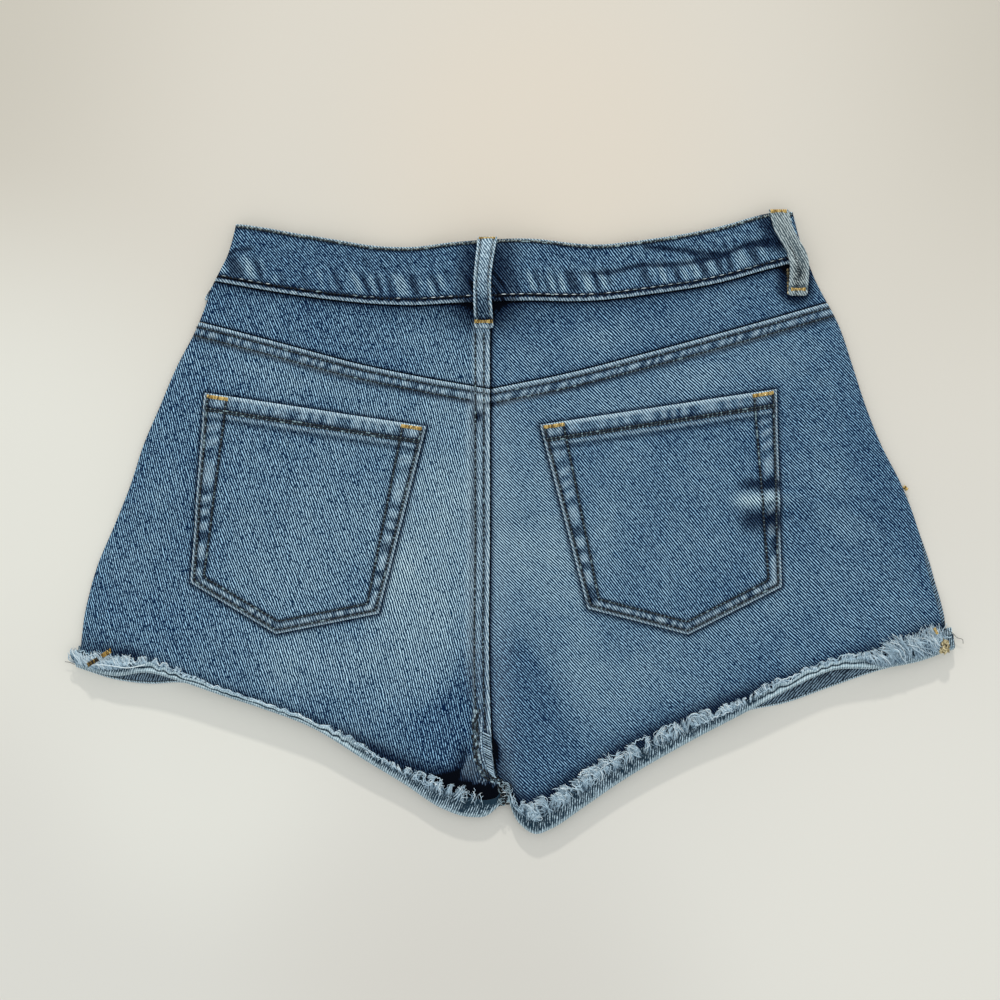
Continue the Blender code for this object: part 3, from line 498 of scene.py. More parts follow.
def wall(name, outer, inner, uv, masks, material, insideMaterial=None, hole=None):
    rows, columns = outer.shape[:2]
    count = rows * columns
    index = np.arange(count).reshape(rows, columns)
    quads = np.stack([index[:-1, :-1], index[:-1, 1:], index[1:, 1:], index[1:, :-1]], -1).reshape(-1, 4)
    points = outer.reshape(-1, 3)
    if hole is not None:
        quads = quads[~hole(points[quads].mean(1))]
    turn = np.cross(points[quads[:, 1]] - points[quads[:, 0]], points[quads[:, 3]] - points[quads[:, 0]])
    if turn[:, 2].sum() < 0:
        quads = quads[:, ::-1]
    edges = np.concatenate([quads[:, [k, (k + 1) % 4]] for k in range(4)])
    key = edges.min(1) * count + edges.max(1)
    _, first, uses = np.unique(key, return_index=True, return_counts=True)
    rim = edges[first[uses == 1]]
    rimFaces = np.stack([rim[:, 1], rim[:, 0], rim[:, 0] + count, rim[:, 1] + count], 1)
    faces = np.concatenate([quads, quads[:, ::-1] + count, rimFaces])
    verts = np.concatenate([points, inner.reshape(-1, 3)])
    used = np.zeros(2 * count, bool)
    used[faces.ravel()] = True
    newIndex = np.cumsum(used) - 1
    both = {key: np.concatenate([v.ravel(), v.ravel()])[used] for key, v in masks.items()}
    uvBoth = np.concatenate([uv.reshape(-1, 2)] * 2)[used]
    inside = None
    if insideMaterial is not None:
        which = np.zeros(len(faces), np.int32)
        which[len(quads):2 * len(quads)] = 1
        inside = (insideMaterial, which)
    return keepMesh(name, verts[used], newIndex[faces].tolist(), material, uvBoth, both, inside)


def tubes(lines, radii, sides):  # one closed tube along each line of points
    count, points = lines.shape[:2]
    tangent = np.gradient(lines, axis=1)
    tangent /= np.maximum(np.linalg.norm(tangent, axis=2, keepdims=True), 1e-9)
    sideways = np.cross(tangent, (0.0, 0.0, 1.0))
    size = np.linalg.norm(sideways, axis=2, keepdims=True)
    sideways = np.where(size > 1e-3, sideways / np.maximum(size, 1e-9), (1.0, 0.0, 0.0))
    upward = np.cross(sideways, tangent)
    angle = np.arange(sides) * 2 * np.pi / sides
    radii = np.broadcast_to(radii, (count, points))[:, :, None, None]
    ring = np.cos(angle)[:, None] * sideways[:, :, None] + np.sin(angle)[:, None] * upward[:, :, None]
    verts = (lines[:, :, None] + radii * ring).reshape(-1, 3)
    index = np.arange(count * points * sides).reshape(count, points, sides)
    near, far = index[:, :-1], index[:, 1:]
    quads = np.stack([near, np.roll(near, -1, 2), np.roll(far, -1, 2), far], -1).reshape(-1, 4)
    caps = index[:, 0, ::-1].tolist() + index[:, -1].tolist()
    return verts, quads[:, ::-1].tolist(), [cap[::-1] for cap in caps]


def tubePiece(name, lines, radii, sides, material, tone=None):
    verts, quads, caps = tubes(lines, radii, sides)
    masks = None
    if tone is not None:
        each = tone if np.ndim(tone) == 2 else np.repeat(tone[:, None], lines.shape[1], 1)
        masks = {"tone": np.repeat(each.ravel(), sides)}
    return keepMesh(name, verts, quads + caps, material, None, masks)


def dress(piece, nodes):
    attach(piece, "root")
    if nodes:
        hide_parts(*nodes)
    return piece


# materials

def fill(tree, node, inputs):
    for key, value in inputs.items():
        if isinstance(value, bpy.types.NodeSocket):
            tree.links.new(value, node.inputs[key])
        else:
            node.inputs[key].default_value = value


def put(tree, kind, inputs=None, **settings):
    made = tree.nodes.new(kind)
    for key, value in settings.items():
        setattr(made, key, value)
    fill(tree, made, inputs or {})
    return made


def calc(tree, operation, *values, clamp=False):
    made = put(tree, "ShaderNodeMath", dict(enumerate(values)), operation=operation, use_clamp=clamp)
    return made.outputs[0]


def stretch(tree, value, low, high, newLow=0.0, newHigh=1.0):
    made = put(
        tree, "ShaderNodeMapRange",
        {"Value": value, "From Min": low, "From Max": high, "To Min": newLow, "To Max": newHigh},
        interpolation_type="SMOOTHSTEP",
    )
    return made.outputs["Result"]


def blendColours(tree, factor, first, second):
    ends = [(*colour, 1.0) if isinstance(colour, tuple) else colour for colour in (first, second)]
    made = put(tree, "ShaderNodeMix", {0: factor, 6: ends[0], 7: ends[1]}, data_type="RGBA")
    return made.outputs[2]


def noise(tree, vector, scale, detail=2.0, rough=0.5):
    settings = {"Vector": vector, "Scale": scale, "Detail": detail, "Roughness": rough}
    return put(tree, "ShaderNodeTexNoise", settings).outputs["Fac"]


def scaled(tree, vector, factors):
    return put(tree, "ShaderNodeVectorMath", {0: vector, 1: factors}, operation="MULTIPLY").outputs[0]


def newGroup(name, inputs, outputs):
    group = bpy.data.node_groups.new(name, "ShaderNodeTree")
    for label, kind, value in inputs:
        made = group.interface.new_socket(name=label, in_out="INPUT", socket_type=kind)
        if value is not None:
            made.default_value = value
    for label, kind in outputs:
        group.interface.new_socket(name=label, in_out="OUTPUT", socket_type=kind)
    return group, group.nodes.new("NodeGroupInput"), group.nodes.new("NodeGroupOutput")


def makeTwillGroup():  # diagonal wales with uneven yarns: x of the map runs along them, y across
    group, given, result = newGroup(
        "twillWeave",
        [("Cloth", "NodeSocketVector", None), ("Pitch", "NodeSocketFloat", 0.00142),
         ("Grain", "NodeSocketFloat", 0.5)],
        [("Line", "NodeSocketFloat"), ("Height", "NodeSocketFloat")],
    )
    cloth, pitch, grain = given.outputs[:3]
    wander = calc(group, "SUBTRACT", noise(group, scaled(group, cloth, (60, 90, 1)), 1.0), 0.5)
    apart = put(group, "ShaderNodeSeparateXYZ", {0: cloth})
    phase = calc(group, "DIVIDE", apart.outputs[1], pitch)
    phase = calc(group, "ADD", phase, calc(group, "MULTIPLY", wander, 0.9))
    shiver = calc(group, "SUBTRACT", noise(group, scaled(group, cloth, (200, 330, 1)), 1.0, 1.0), 0.5)
    phase = calc(group, "ADD", phase, calc(group, "MULTIPLY", shiver, calc(group, "MULTIPLY", grain, 1.7)))
    wave = calc(group, "SINE", calc(group, "MULTIPLY", phase, 2 * math.pi))
    wave = calc(group, "MULTIPLY_ADD", wave, 0.5, 0.5)
    slub = noise(group, scaled(group, cloth, (450, 820, 1)), 1.0, 1.0)
    fleck = noise(group, scaled(group, cloth, (1100, 1300, 1)), 1.0, 1.0)
    fleck = calc(group, "MULTIPLY_ADD", fleck, 0.75, 0.125)
    rough = calc(group, "ADD", calc(group, "SUBTRACT", slub, 0.5), calc(group, "SUBTRACT", fleck, 0.5))
    line = calc(group, "ADD", wave, calc(group, "MULTIPLY", rough, calc(group, "MULTIPLY", grain, 2.6)))
    weft = calc(group, "SINE", calc(group, "MULTIPLY", apart.outputs[0], 2 * math.pi / 0.0011))
    fill(group, result, {"Line": line, "Height": calc(group, "MULTIPLY_ADD", weft, 0.12, line)})
    return group


def makeIndigoGroup():  # wash, rubbed edges and the dark mask over the woven lines: unfaded dye, and painted shade in folds, grooves and hollows
    group, given, result = newGroup(
        "indigoWash",
        [("Line", "NodeSocketFloat", 0.5), ("Fade", "NodeSocketFloat", 0.3), ("Rub", "NodeSocketFloat", 0.0),
         ("Dark", "NodeSocketFloat", 0.0), ("Place", "NodeSocketVector", None)],
        [("Color", "NodeSocketColor")],
    )
    weave, fade, rub, dark, place = given.outputs[:5]
    cloud = calc(group, "SUBTRACT", noise(group, place, 28.0, 3.0), 0.5)
    mottle = calc(group, "SUBTRACT", noise(group, place, 190.0, 3.0), 0.5)
    uneven = calc(group, "ADD", calc(group, "MULTIPLY", cloud, 0.5), calc(group, "MULTIPLY", mottle, 0.4))
    fade = calc(group, "ADD", fade, uneven, clamp=True)
    start = calc(group, "MULTIPLY_ADD", fade, -0.28, 0.728)
    line = stretch(group, weave, start, calc(group, "ADD", start, 0.36))
    valley = blendColours(group, fade, (0.0010, 0.0135, 0.0520), (0.0050, 0.0400, 0.0840))
    wale = blendColours(group, fade, (0.3650, 0.6600, 0.9000), (0.7400, 0.9450, 1.0000))
    washed = blendColours(group, line, valley, wale)
    chalky = stretch(group, weave, 0.2, 0.85)
    chalk = blendColours(group, chalky, (0.1000, 0.1900, 0.2700), (0.7000, 0.8400, 0.9000))
    worn = blendColours(group, rub, washed, chalk)
    # the dark mask's colour: deep navy, and near black above 0.86 where painted shade fills hollows
    deep = blendColours(group, line, (0.0006, 0.0024, 0.0120), (0.0150, 0.0450, 0.1050))
    deep = blendColours(group, stretch(group, dark, 0.86, 1.0), deep, (0.0006, 0.0014, 0.0040))
    light = calc(group, "POWER", calc(group, "SUBTRACT", 1.0, dark, clamp=True), 1.6)
    dark = calc(group, "SUBTRACT", 1.0, light)
    fill(group, result, {"Color": blendColours(group, dark, worn, deep)})
    return group


twillGroup = makeTwillGroup()
indigoGroup = makeIndigoGroup()


def newMaterial(name, roughness, specular=0.2):
    made = bpy.data.materials.new(name)
    made.use_nodes = True
    shader = made.node_tree.nodes["Principled BSDF"]
    fill(made.node_tree, shader, {"Roughness": roughness, "Specular IOR Level": specular})
    place = put(made.node_tree, "ShaderNodeTexCoord").outputs["Object"]
    return made, made.node_tree, shader, place


def attribute(tree, name):
    return put(tree, "ShaderNodeAttribute", attribute_name=name).outputs["Fac"]


def relieve(tree, shader, height, distance, strength):
    relief = put(tree, "ShaderNodeBump", {"Height": height, "Distance": distance, "Strength": strength})
    fill(tree, shader, {"Normal": relief.outputs[0]})


def weave(tree, shader, grain, bump, strength):  # the twill's lines, with its relief in the shader
    cloth = put(tree, "ShaderNodeUVMap", uv_map="cloth").outputs[0]
    twill = put(tree, "ShaderNodeGroup", {"Cloth": cloth, "Grain": grain}, node_tree=twillGroup)
    relieve(tree, shader, twill.outputs["Height"], bump, strength)
    return twill.outputs["Line"]


def makeDenim(name, grain):
    made, tree, shader, place = newMaterial(name, 0.92, 0.06)
    masks = {label: attribute(tree, label.lower()) for label in ("Fade", "Rub", "Dark")}
    line = weave(tree, shader, grain, 0.00030, 0.8)
    wash = put(tree, "ShaderNodeGroup", {"Line": line, "Place": place, **masks}, node_tree=indigoGroup)
    fill(tree, shader, {"Base Color": wash.outputs["Color"]})
    return made


def makeWrongSide(name, low, high, bump=0.00025):  # the pale side of the twill
    made, tree, shader, place = newMaterial(name, 0.95)
    line = weave(tree, shader, 0.55, bump, 0.7)
    tone = calc(tree, "ADD", line, calc(tree, "MULTIPLY", noise(tree, place, 90.0, 3.0), 0.5))
    # the dark mask darkens the pale side: painted shade in the cuffs' valleys, under their waves and under
    # the fray
    tone = calc(tree, "SUBTRACT", tone, attribute(tree, "dark"))
    colour = blendColours(tree, stretch(tree, tone, 0.5, 1.25), low, high)
    rubbed = blendColours(tree, stretch(tree, tone, 0.0, 1.2), (0.26, 0.38, 0.44), (0.60, 0.72, 0.76))
    colour = blendColours(tree, attribute(tree, "rub"), colour, rubbed)
    fill(tree, shader, {"Sheen Weight": 0.1, "Base Color": colour})
    return made


def makeThread(name, deep, middle, pale, roughness, twist=0.0):  # tone 0, 0.5 and 1 give the three colours
    made, tree, shader, place = newMaterial(name, roughness)
    uneven = calc(tree, "MULTIPLY", calc(tree, "SUBTRACT", noise(tree, place, 900.0), 0.5), 0.7)
    tone = calc(tree, "ADD", attribute(tree, "tone"), uneven)
    colour = blendColours(tree, stretch(tree, tone, 0.0, 0.5), deep, middle)
    colour = blendColours(tree, stretch(tree, tone, 0.5, 1.0), colour, pale)
    fill(tree, shader, {"Sheen Weight": 0.15, "Base Color": colour})
    if twist:
        relieve(tree, shader, noise(tree, place, twist, 1.0), 0.0002, 0.6)
    return made


threadLooks = {  # the dark, middle and pale colour, the roughness and the twist's scale
    "Olive": ((0.0015, 0.0045, 0.009), (0.007, 0.015, 0.021), (0.29, 0.42, 0.45), 0.7, 2200.0),
    "Gold": ((0.010, 0.007, 0.003), (0.38, 0.22, 0.035), (0.78, 0.56, 0.20), 0.6, 2200.0),
    "Chain": ((0.002, 0.006, 0.010), (0.045, 0.082, 0.105), (0.30, 0.41, 0.46), 0.85, 1600.0),
    "Edge": ((0.006, 0.010, 0.011), (0.07, 0.085, 0.075), (0.44, 0.47, 0.41), 0.8, 1600.0),
    "Cream": ((0.012, 0.03, 0.045), (0.32, 0.40, 0.42), (0.78, 0.86, 0.86), 0.7, 2200.0),
    "Tan": ((0.030, 0.024, 0.012), (0.26, 0.20, 0.09), (0.70, 0.60, 0.36), 0.7, 1600.0),
    "Pale": ((0.05, 0.11, 0.17), (0.45, 0.60, 0.70), (0.80, 0.90, 0.94), 0.9),
}
denim = {"Left": makeDenim("denimLeft", 0.4), "Right": makeDenim("denimRight", 0.24)}
denimBand = makeDenim("denimBand", 0.28)
denimHidden = makeDenim("denimHidden", 0.5)
wrongSide = makeWrongSide("wrongSide", (0.008, 0.028, 0.048), (0.50, 0.65, 0.74))
# painted shade: a darker copy of the pale wrong side, for the inner faces seen in the shaded leg openings
shadedInside = makeWrongSide("shadedInside", (0.005, 0.016, 0.032), (0.26, 0.38, 0.48))
thread = {name: makeThread(f"thread{name}", *look) for name, look in threadLooks.items()}
print("materials")

# wash and weave direction

washes = {  # where the denim is more or less faded: middle, length, half width, turn, amount
    "x": [-48, -58, 4, 20, -108, -70, 62, 100, 235, -250, -225, 80, -30, 10, 235, -150, -60, 20, 110, -125,
          34, -60, -14, -133, 112, -76, 226, 251, 218, 3, 77, -71, 53, 65, 160, 54, 6, 2, -48, -146, 172],
    "y": [0, -60, -6, -66, -98, -92, -100, -118, 40, -40, -66, -136, -152, -150, -78, 163, 152, 150, 158, -25,
          -30, -122, 50, 89, 89, -34, 54, -8, -88, -128, -135, 113, 112, 39, -28, -12, 38, -100, -120, 36,
          12],
    "length": [190, 130, 170, 120, 210, 120, 190, 110, 150, 120, 90, 190, 110, 100, 110, 110, 110, 90, 160,
               110, 120, 110, 60, 130, 120, 60, 70, 70, 100, 110, 70, 70, 130, 70, 60, 60, 60, 70, 70, 70,
               40],
    "spread": [30, 34, 28, 28, 30, 30, 32, 26, 30, 28, 26, 15, 26, 24, 16, 13, 9, 9, 7, 32, 16, 24, 10, 13,
               12, 13, 14, 14, 13, 13, 14, 12, 10, 15, 14, 10, 12, 12, 12, 12, 9],
    "height": [0.38, 0.2, 0.26, 0.02, 0.2, 0.06, 0.08, 0.06, -0.14, -0.04, -0.08, -0.12, -0.4, -0.42, -0.06,
               -0.02, 0.05, 0.05, 0.1, 0.2, 0.22, -0.34, -0.15, 0.16, 0.24, 0.28, -0.26, -0.2, -0.27, -0.28,
               -0.12, 0.14, 0.16, 0.18, 0.18, 0.28, -0.14, -0.2, -0.14, -0.12, -0.16],
    "turn": [84, 76, 92, 100, -22, 30, 26, 28, -60, 66, 20, 33, 80, 100, 14, -10, -4, 4, 8, 84, 100, -20, 90,
             -10, 14, 75, -65, -70, 14, 90, 35, -8, 14, -75, 90, -78, 90, 90, 60, 0, 0],
}


def fadeMap(x, y, base):
    return (
        # the creases and folds shift the tone with their height: painted light on their ridges, painted shade
        # in their hollows
        base + foldField(washes, x, y) + 0.22 * foldField(creases, x, y) + 0.08 * foldField(softFolds, x, y)
    )


def weaveMap(x, y, angle, bend=0.0):  # wales run down to the right, that many degrees from level
    turn = np.radians(angle + bend * np.sin(x / 70.0) * np.sin(y / 60.0 + 1.0))
    turn = np.broadcast_to(turn.mean() if bend == 0.0 else turn, x.shape)
    warp = 1.2 * np.sin(x / 47.0 + y / 61.0) + 0.9 * np.sin(y / 33.0 - x / 71.0)
    middle = math.radians(angle)
    along = x * math.cos(middle) - y * math.sin(middle)
    across = x * math.sin(middle) + y * math.cos(middle)
    return np.stack([along, across + warp + bend * 0.02 * (turn - middle) * along], -1)


# stitches

def softLine(points, steps=40):
    points = np.array(points, float)
    far = np.concatenate([[0], np.cumsum(np.linalg.norm(np.diff(points, axis=0), axis=1))])
    slopes = np.gradient(points, far, axis=0)
    x = np.linspace(0, far[-1], steps)
    i = np.clip(np.searchsorted(far, x) - 1, 0, len(far) - 2)
    h = (far[i + 1] - far[i])[:, None]
    t = ((x - far[i]) / h[:, 0])[:, None]
    return hermite(points, slopes, i, t, h)


def lengthAlong(line):
    return np.concatenate([[0], np.cumsum(np.hypot(*np.diff(line, axis=0).T))])


def resample(line, step=3.0):
    far = lengthAlong(line)
    reach = np.linspace(0, far[-1], max(2, int(far[-1] / step)) + 1)
    return np.stack([np.interp(reach, far, line[:, k]) for k in (0, 1)], 1)


def raiseAlong(line, far, reach, lift, arch):  # lift gives the cloth's height
    x, y = (np.interp(reach, far, line[:, k]) for k in (0, 1))
    return spatial(x, y, lift(x, y) + np.array(arch))


def stitchAlong(line, lift, pitch=2.7, share=0.7, bow=0.16):  # even stitches along a line of plan points
    far = lengthAlong(line)
    count = int(far[-1] / pitch)
    start = (np.arange(count) + 0.1) * far[-1] / count
    start = start + dice.uniform(-0.12, 0.12, count)
    reach = start[:, None] + np.linspace(0, share * far[-1] / count, 5)[None, :]
    return raiseAlong(line, far, reach, lift, (-0.22, bow * 0.6, bow, bow * 0.6, -0.22))


def betweenAlong(line, lift, pitch=2.7, share=0.7):  # the cloth that swells between the stitches
    far = lengthAlong(line)
    count = int(far[-1] / pitch)
    reach = (
        (np.arange(count)[:, None] + 0.14 + share + np.linspace(0, 0.92 - share, 5)[None, :])
        * far[-1] / count
    )
    return raiseAlong(line, far, reach, lift, (-0.3, 0.0, 0.08, 0.0, -0.3))


threads = {"radius": (0.24, 0.46, 0.50, 0.46, 0.24), "sides": 5}


def makeStitching(name, rows, material, low=0.0, high=0.4, bright=0.06, radius=1.0, between=()):
    lines = np.concatenate(rows)
    tone = dice.uniform(low, high, len(lines))
    tone = np.where(dice.uniform(size=len(lines)) < bright, 0.85, tone)
    if len(between):
        swells = np.concatenate(between)
        lines = np.concatenate([lines, swells])
        tone = np.concatenate([tone, dice.uniform(0.5, 0.85, len(swells))])
    piece = tubePiece(name, lines, np.array(threads["radius"]) * radius, threads["sides"], material, tone)
    return dress(piece, [])


def barTack(start, end, lift, width=1.7, turns=9):
    # a close zigzag of thick thread over a short line
    start, end = np.array(start, float), np.array(end, float)
    run = end - start
    aside = np.array([-run[1], run[0]]) / np.hypot(*run)
    rows = []
    for i in range(turns):
        near = start + run * (i / turns)
        far = start + run * ((i + 0.75) / turns)
        for sign in (-1, 1):
            rows.append(np.linspace(near - sign * aside * width / 2, far + sign * aside * width / 2, 5))
    x, y = np.moveaxis(np.array(rows), -1, 0)
    return spatial(x, y, lift(x, y) + np.array([-0.1, 0.28, 0.42, 0.28, -0.1]))


# leg panels

panel = {
    "breadth": 240.0,
    "depth": 230.0,
    "pitch": 1.6,
    "fade": 0.17,
    "yokeBand": 10.0,  # breadth of the felled band under the yoke seam
    "centreBand": 10.5,
    "yokeRows": (3.3, 8.9),  # stitch rows, from the seam
    "centreRows": (3.9, 9.2),
    "angle": {"Left": 74.0, "Right": 44.5},
}


def seamRelief(distance, far, rows, band, seed, roped=1.0, pitch=6.8):
    # height, rub and dark of a felled band beside a seam
    inBand = 1 - ramp(band - 0.5, band + 0.3, distance)
    between = ramp(rows[0], rows[0] + 1.5, distance) * fall(rows[1] - 1.5, rows[1], distance)
    rope = ripple(far + 0.5 * distance, pitch, seed) * roped
    valleys = bell(distance, rows[0], 0.8) + bell(distance, rows[1], 0.8)
    shade = bell(distance, rows[0], 1.0) + bell(distance, rows[1], 1.0)
    ridge = ramp(-0.3, 0.5, distance) * fall(rows[0] - 1.7, rows[0] - 0.6, distance)
    height = lay["felled"] * inBand + 0.5 * ridge - 0.34 * valleys + 0.2 * rope * between
    broken = 0.62 + 0.38 * ripple(far - distance, 3.1, seed + 1)
    rub = ridge * broken + between * unit(0.2 + 0.5 * rope) + 0.5 * bell(distance, band - 0.4, 0.8)
    # dark: painted shade in the stitch grooves and under the band's lower edge, with unfaded dye and painted
    # shade in the rope's hollows
    dark = 0.88 * shade + 0.5 * between * unit(-rope - 0.1) + 0.4 * bell(distance, band + 0.9, 1.0)
    return height, rub, dark


def backPlace(side):
    leg = legs[side]
    sign = leg["sign"]
    startX = startBeside(leg)
    seam = lambda x: leg["yoke"](x) - lay["seamGap"] / 2
    foot = hemEdge(leg, "fold")
    sideX = meet(seam, leg["side"], 200.0 * sign)
    hemX = meet(foot, leg["side"], 270.0 * sign)
    return patch(
        edgeAcross(seam, startX, sideX),
        edgeAcross(foot, leg["crotch"], hemX),
        innerEdge(leg, seam(lay["centre"]), foot(leg["crotch"])),
        edgeDown(leg["side"], seam(sideX), foot(hemX)),
    )


def yokeDistance(leg, x, y):
    slope = (leg["yoke"](x + 2) - leg["yoke"](x - 2)) / 4
    run = np.hypot(1, slope)
    return (leg["yoke"](x) - y) / run, x * run


def centreDistance(x, y):
    return np.abs(x - centreSeam(y))


def crotchShade(x, y):  # the black pinch beside the seam's foot and the hollow under it
    pinch = np.hypot((x + 11.6 + 0.12 * (y + 142.5)) / 2.3, (y + 142.5) / 7.0)
    hollow = ramp(-33.5, -30, x) * fall(-8, -5, x) * fall(-163.6, -161.8, y + 0.08 * (x + 20))
    return 1.6 * np.exp(-(pinch**4)) + 1.6 * hollow


def legRelief(side, x, y):
    leg = legs[side]
    edge = quarter(sideDistance(x, y) / lay["sideRoll"])
    below, far = yokeDistance(leg, x, y)
    height, rub, dark = seamRelief(below, far, panel["yokeRows"], panel["yokeBand"], 1.0 + leg["sign"])
    away = centreDistance(x, y)
    if side == "Left":
        felled, rubbed, shaded = seamRelief(away, y, panel["centreRows"], panel["centreBand"], 4.0, 0.3)
        height = np.maximum(height, 0) + felled * (1 - 0.6 * (height > 0.3))
        rubbed += 0.14 * fall(9.5, 11, away) * ramp(-110, -60, y)
        rub, dark = np.maximum(rub, rubbed), np.maximum(dark, 0.72 * shaded)
        rub += 0.35 * bell(away, 13.0, 2.2) * ramp(-120, -60, y)
        knot = bell(np.hypot(x + 20.0, (y - 76.5) * 0.8), 0, 4.5)
        rub, dark = rub + 0.9 * knot, dark * (1 - 0.6 * knot)
        dark += 0.9 * bell(np.hypot((x + 23.0), (y - 66.0) * 0.7), 0, 2.6)
        # the worn foot of the seam, and the tuck and shade beside it
        low = 1 - ramp(-128, -112, y)
        strip = ramp(6.4, 7.4, away) * fall(11.2, 12.2, away) * low
        lump = ripple(y + 0.7 * away, 2.3, 2.0) * ripple(y * 0.6 - away, 3.1, 5.0)
        rub = rub * (1 - strip) + strip * np.clip(0.25 + 1.4 * lump, 0, 0.8)
        dark = dark * (1 - strip) + strip * unit(0.35 - 1.6 * lump)
        fold = np.array([(-28.5, -134.0), (-31.0, -148.0), (-35.5, -164.0)])
        shade, _ = alongLine(x, y, fold)
        outside = x < routeAt(fold, y)
        dark += 0.8 * np.where(outside, bell(shade, 0, 6.0), bell(shade, 0, 1.2)) * fall(-146, -132, y)
        dark += 0.7 * bell(x, -40, 9) * fall(-159, -148, y)
        tongue = (1 - outside) * ramp(11, 12.5, away) * fall(-150, -142, y) * (x > -36)
        rub, dark = mix(rub, 0.3, tongue), mix(dark, 0.38, tongue * (y > -161))
    else:
        rub += 0.12 * bell(away, 6, 8)
        # painted shade in the seam's crevice, and darker beside it towards the crotch
        dark += 1.1 * bell(away, 0.0, 1.5)
        dark += 0.5 * bell(away, 0.0, 9.0) * fall(-150, -118, y)
    dark += crotchShade(x, y)
    if side == "Left":
        dark += 0.8 * ramp(0.4, 1.2, away) * fall(5.0, 6.0, away) * ramp(-158, -154, y) * fall(-134, -128, y)
    hem = y - leg["fold"](x)
    breadth = leg["raw"](x) - leg["fold"](x)
    # painted shade under the cuff's raw edge, with unfaded dye in the band above the fray
    dark += 0.85 * bell(hem, breadth * 0.85, 6.5) * ramp(3, 12, breadth) * (0.4 + 0.6 * ramp(-262, -238, x))
    dark += 0.45 * bell(hem, breadth, 4.0) * fall(3, 12, breadth)
    # painted shadow of the pocket round its outline
    outline = np.array([*pockets[side], pockets[side][0]], float)
    dark += 0.85 * bell(awayFrom(x, y, outline), 0.4, 1.3)
    return height * edge, rub, dark


def backCloth(name, side, place, table, rowMarks, relief):  # one wall of the back
    us = stations(table["breadth"], table["pitch"], (panel["centreBand"],) if side == "Left" else ())
    u, v = np.meshgrid(us, stations(table["depth"], table["pitch"], rowMarks))
    x, y = place(u, v)
    height, rub, dark = relief(side, x, y)
    soft = -0.3 * (1 - quarter(fromEnds(u, v, table["breadth"], table["depth"]) / 1.2))
    outer = spatial(x, y, backOuter(x, y) + height + soft)
    shrink = np.where(u > 0.9, np.maximum(0, 1 - np.maximum(sideDistance(x, y), 0) / lay["turnIn"]), 0)
    inner = spatial(x - legs[side]["sign"] * lay["cloth"] * shrink, y, backInner(x, y))
    masks = clothMasks(fadeMap(x, y, table["fade"]), rub, dark)
    uv = weaveMap(x, y, table["angle"][side])
    return wall(name + side, outer, inner, uv, masks, denim[side], shadedInside)


for side in legs:
    low = side.lower()
    piece = backCloth("backPanel", side, backPlace(side), panel, (panel["yokeBand"],), legRelief)
    dress(piece, [f"back_{low}"])
print("back panels")

# yokes

yoke = {"breadth": 180.0, "depth": 40.0, "pitch": 1.5, "fade": 0.05, "angle": {"Left": 70.0, "Right": 44.0}}


def yokePlace(side):
    leg = legs[side]
    sign = leg["sign"]
    startX = startBeside(leg)
    top = lambda x: waistSeam(x) - lay["seamGap"]
    foot = lambda x: leg["yoke"](x) + lay["seamGap"] / 2
    topX = meet(top, leg["side"], 185.0 * sign)
    footX = meet(foot, leg["side"], 200.0 * sign)
    return patch(
        edgeAcross(top, startX, topX),
        edgeAcross(foot, startX, footX),
        straight((startX, top(lay["centre"])), (startX, foot(lay["centre"]))),
        edgeDown(leg["side"], top(topX), foot(footX)),
    )


def yokeRelief(side, x, y):
    edge = quarter(sideDistance(x, y) / lay["sideRoll"])
    below, _ = yokeDistance(legs[side], x, y)
    away = centreDistance(x, y)
    height = np.zeros_like(x)
    rub = np.zeros_like(x)
    # painted shade in the seams' creases, with unfaded dye along them
    dark = (
        1.1 * bell(below, 0.0, 1.2) + 1.0 * bell(waistSeam(x) - y, 0.0, 1.5)
        + 0.3 * bell(waistSeam(x) - y, 0.0, 5)
    )
    if side == "Left":
        height, rub, shaded = seamRelief(away, y, panel["centreRows"], panel["centreBand"], 4.0, 0.3)
        rub += 0.35 * bell(away, 5.5, 3.5)
        dark = np.maximum(dark, shaded * ramp(-3, -1, below))
    else:
        # painted shade: the centre seam's crevice, and round the right loop's foot
        dark += 1.1 * bell(away, 0.0, 1.6)
        loopFoot = np.hypot((x - 175.0) / 11.5, np.maximum(0, 146 - y) / 10.0)
        dark += 0.9 * np.exp(-loopFoot**6)
    loopX = -19.5  # middle of the centre loop's foot
    # painted shade on both sides of the centre loop
    loopShade = np.exp(-(((x - loopX - 1) / 17.0) ** 2) - ((y - 135) / 13.5) ** 2)
    dark += 1.45 * loopShade * (0.85 + 0.2 * ripple(x + 0.7 * y, 4.7, 1.0)) * (np.abs(x - loopX) > 4)
    return height * edge, rub * (1 - loopShade), dark


for side in legs:
    low = side.lower()
    piece = backCloth("yoke", side, yokePlace(side), yoke, (), yokeRelief)
    dress(piece, [f"yoke_{low}"])
print("yokes")

# waistband

band = {
    "length": 360.0,
    "depth": 37.0,
    "pitch": 1.3,
    "edgeRow": 1.9,  # stitch row under the top edge
    "seamRow": 3.6,  # stitch row above the lower edge
    "angle": 51.0,
    "wrinkles": [
        [(81, 171), (100, 169.5), (115, 167.8), (125.6, 165.6), (133, 168), (142, 171.6), (152, 173.6),
         (166, 174.6)],
        [(28, 155.4), (62, 156), (77, 159.6), (94, 159.8), (113, 162.2), (124, 165.4)],
    ],
}


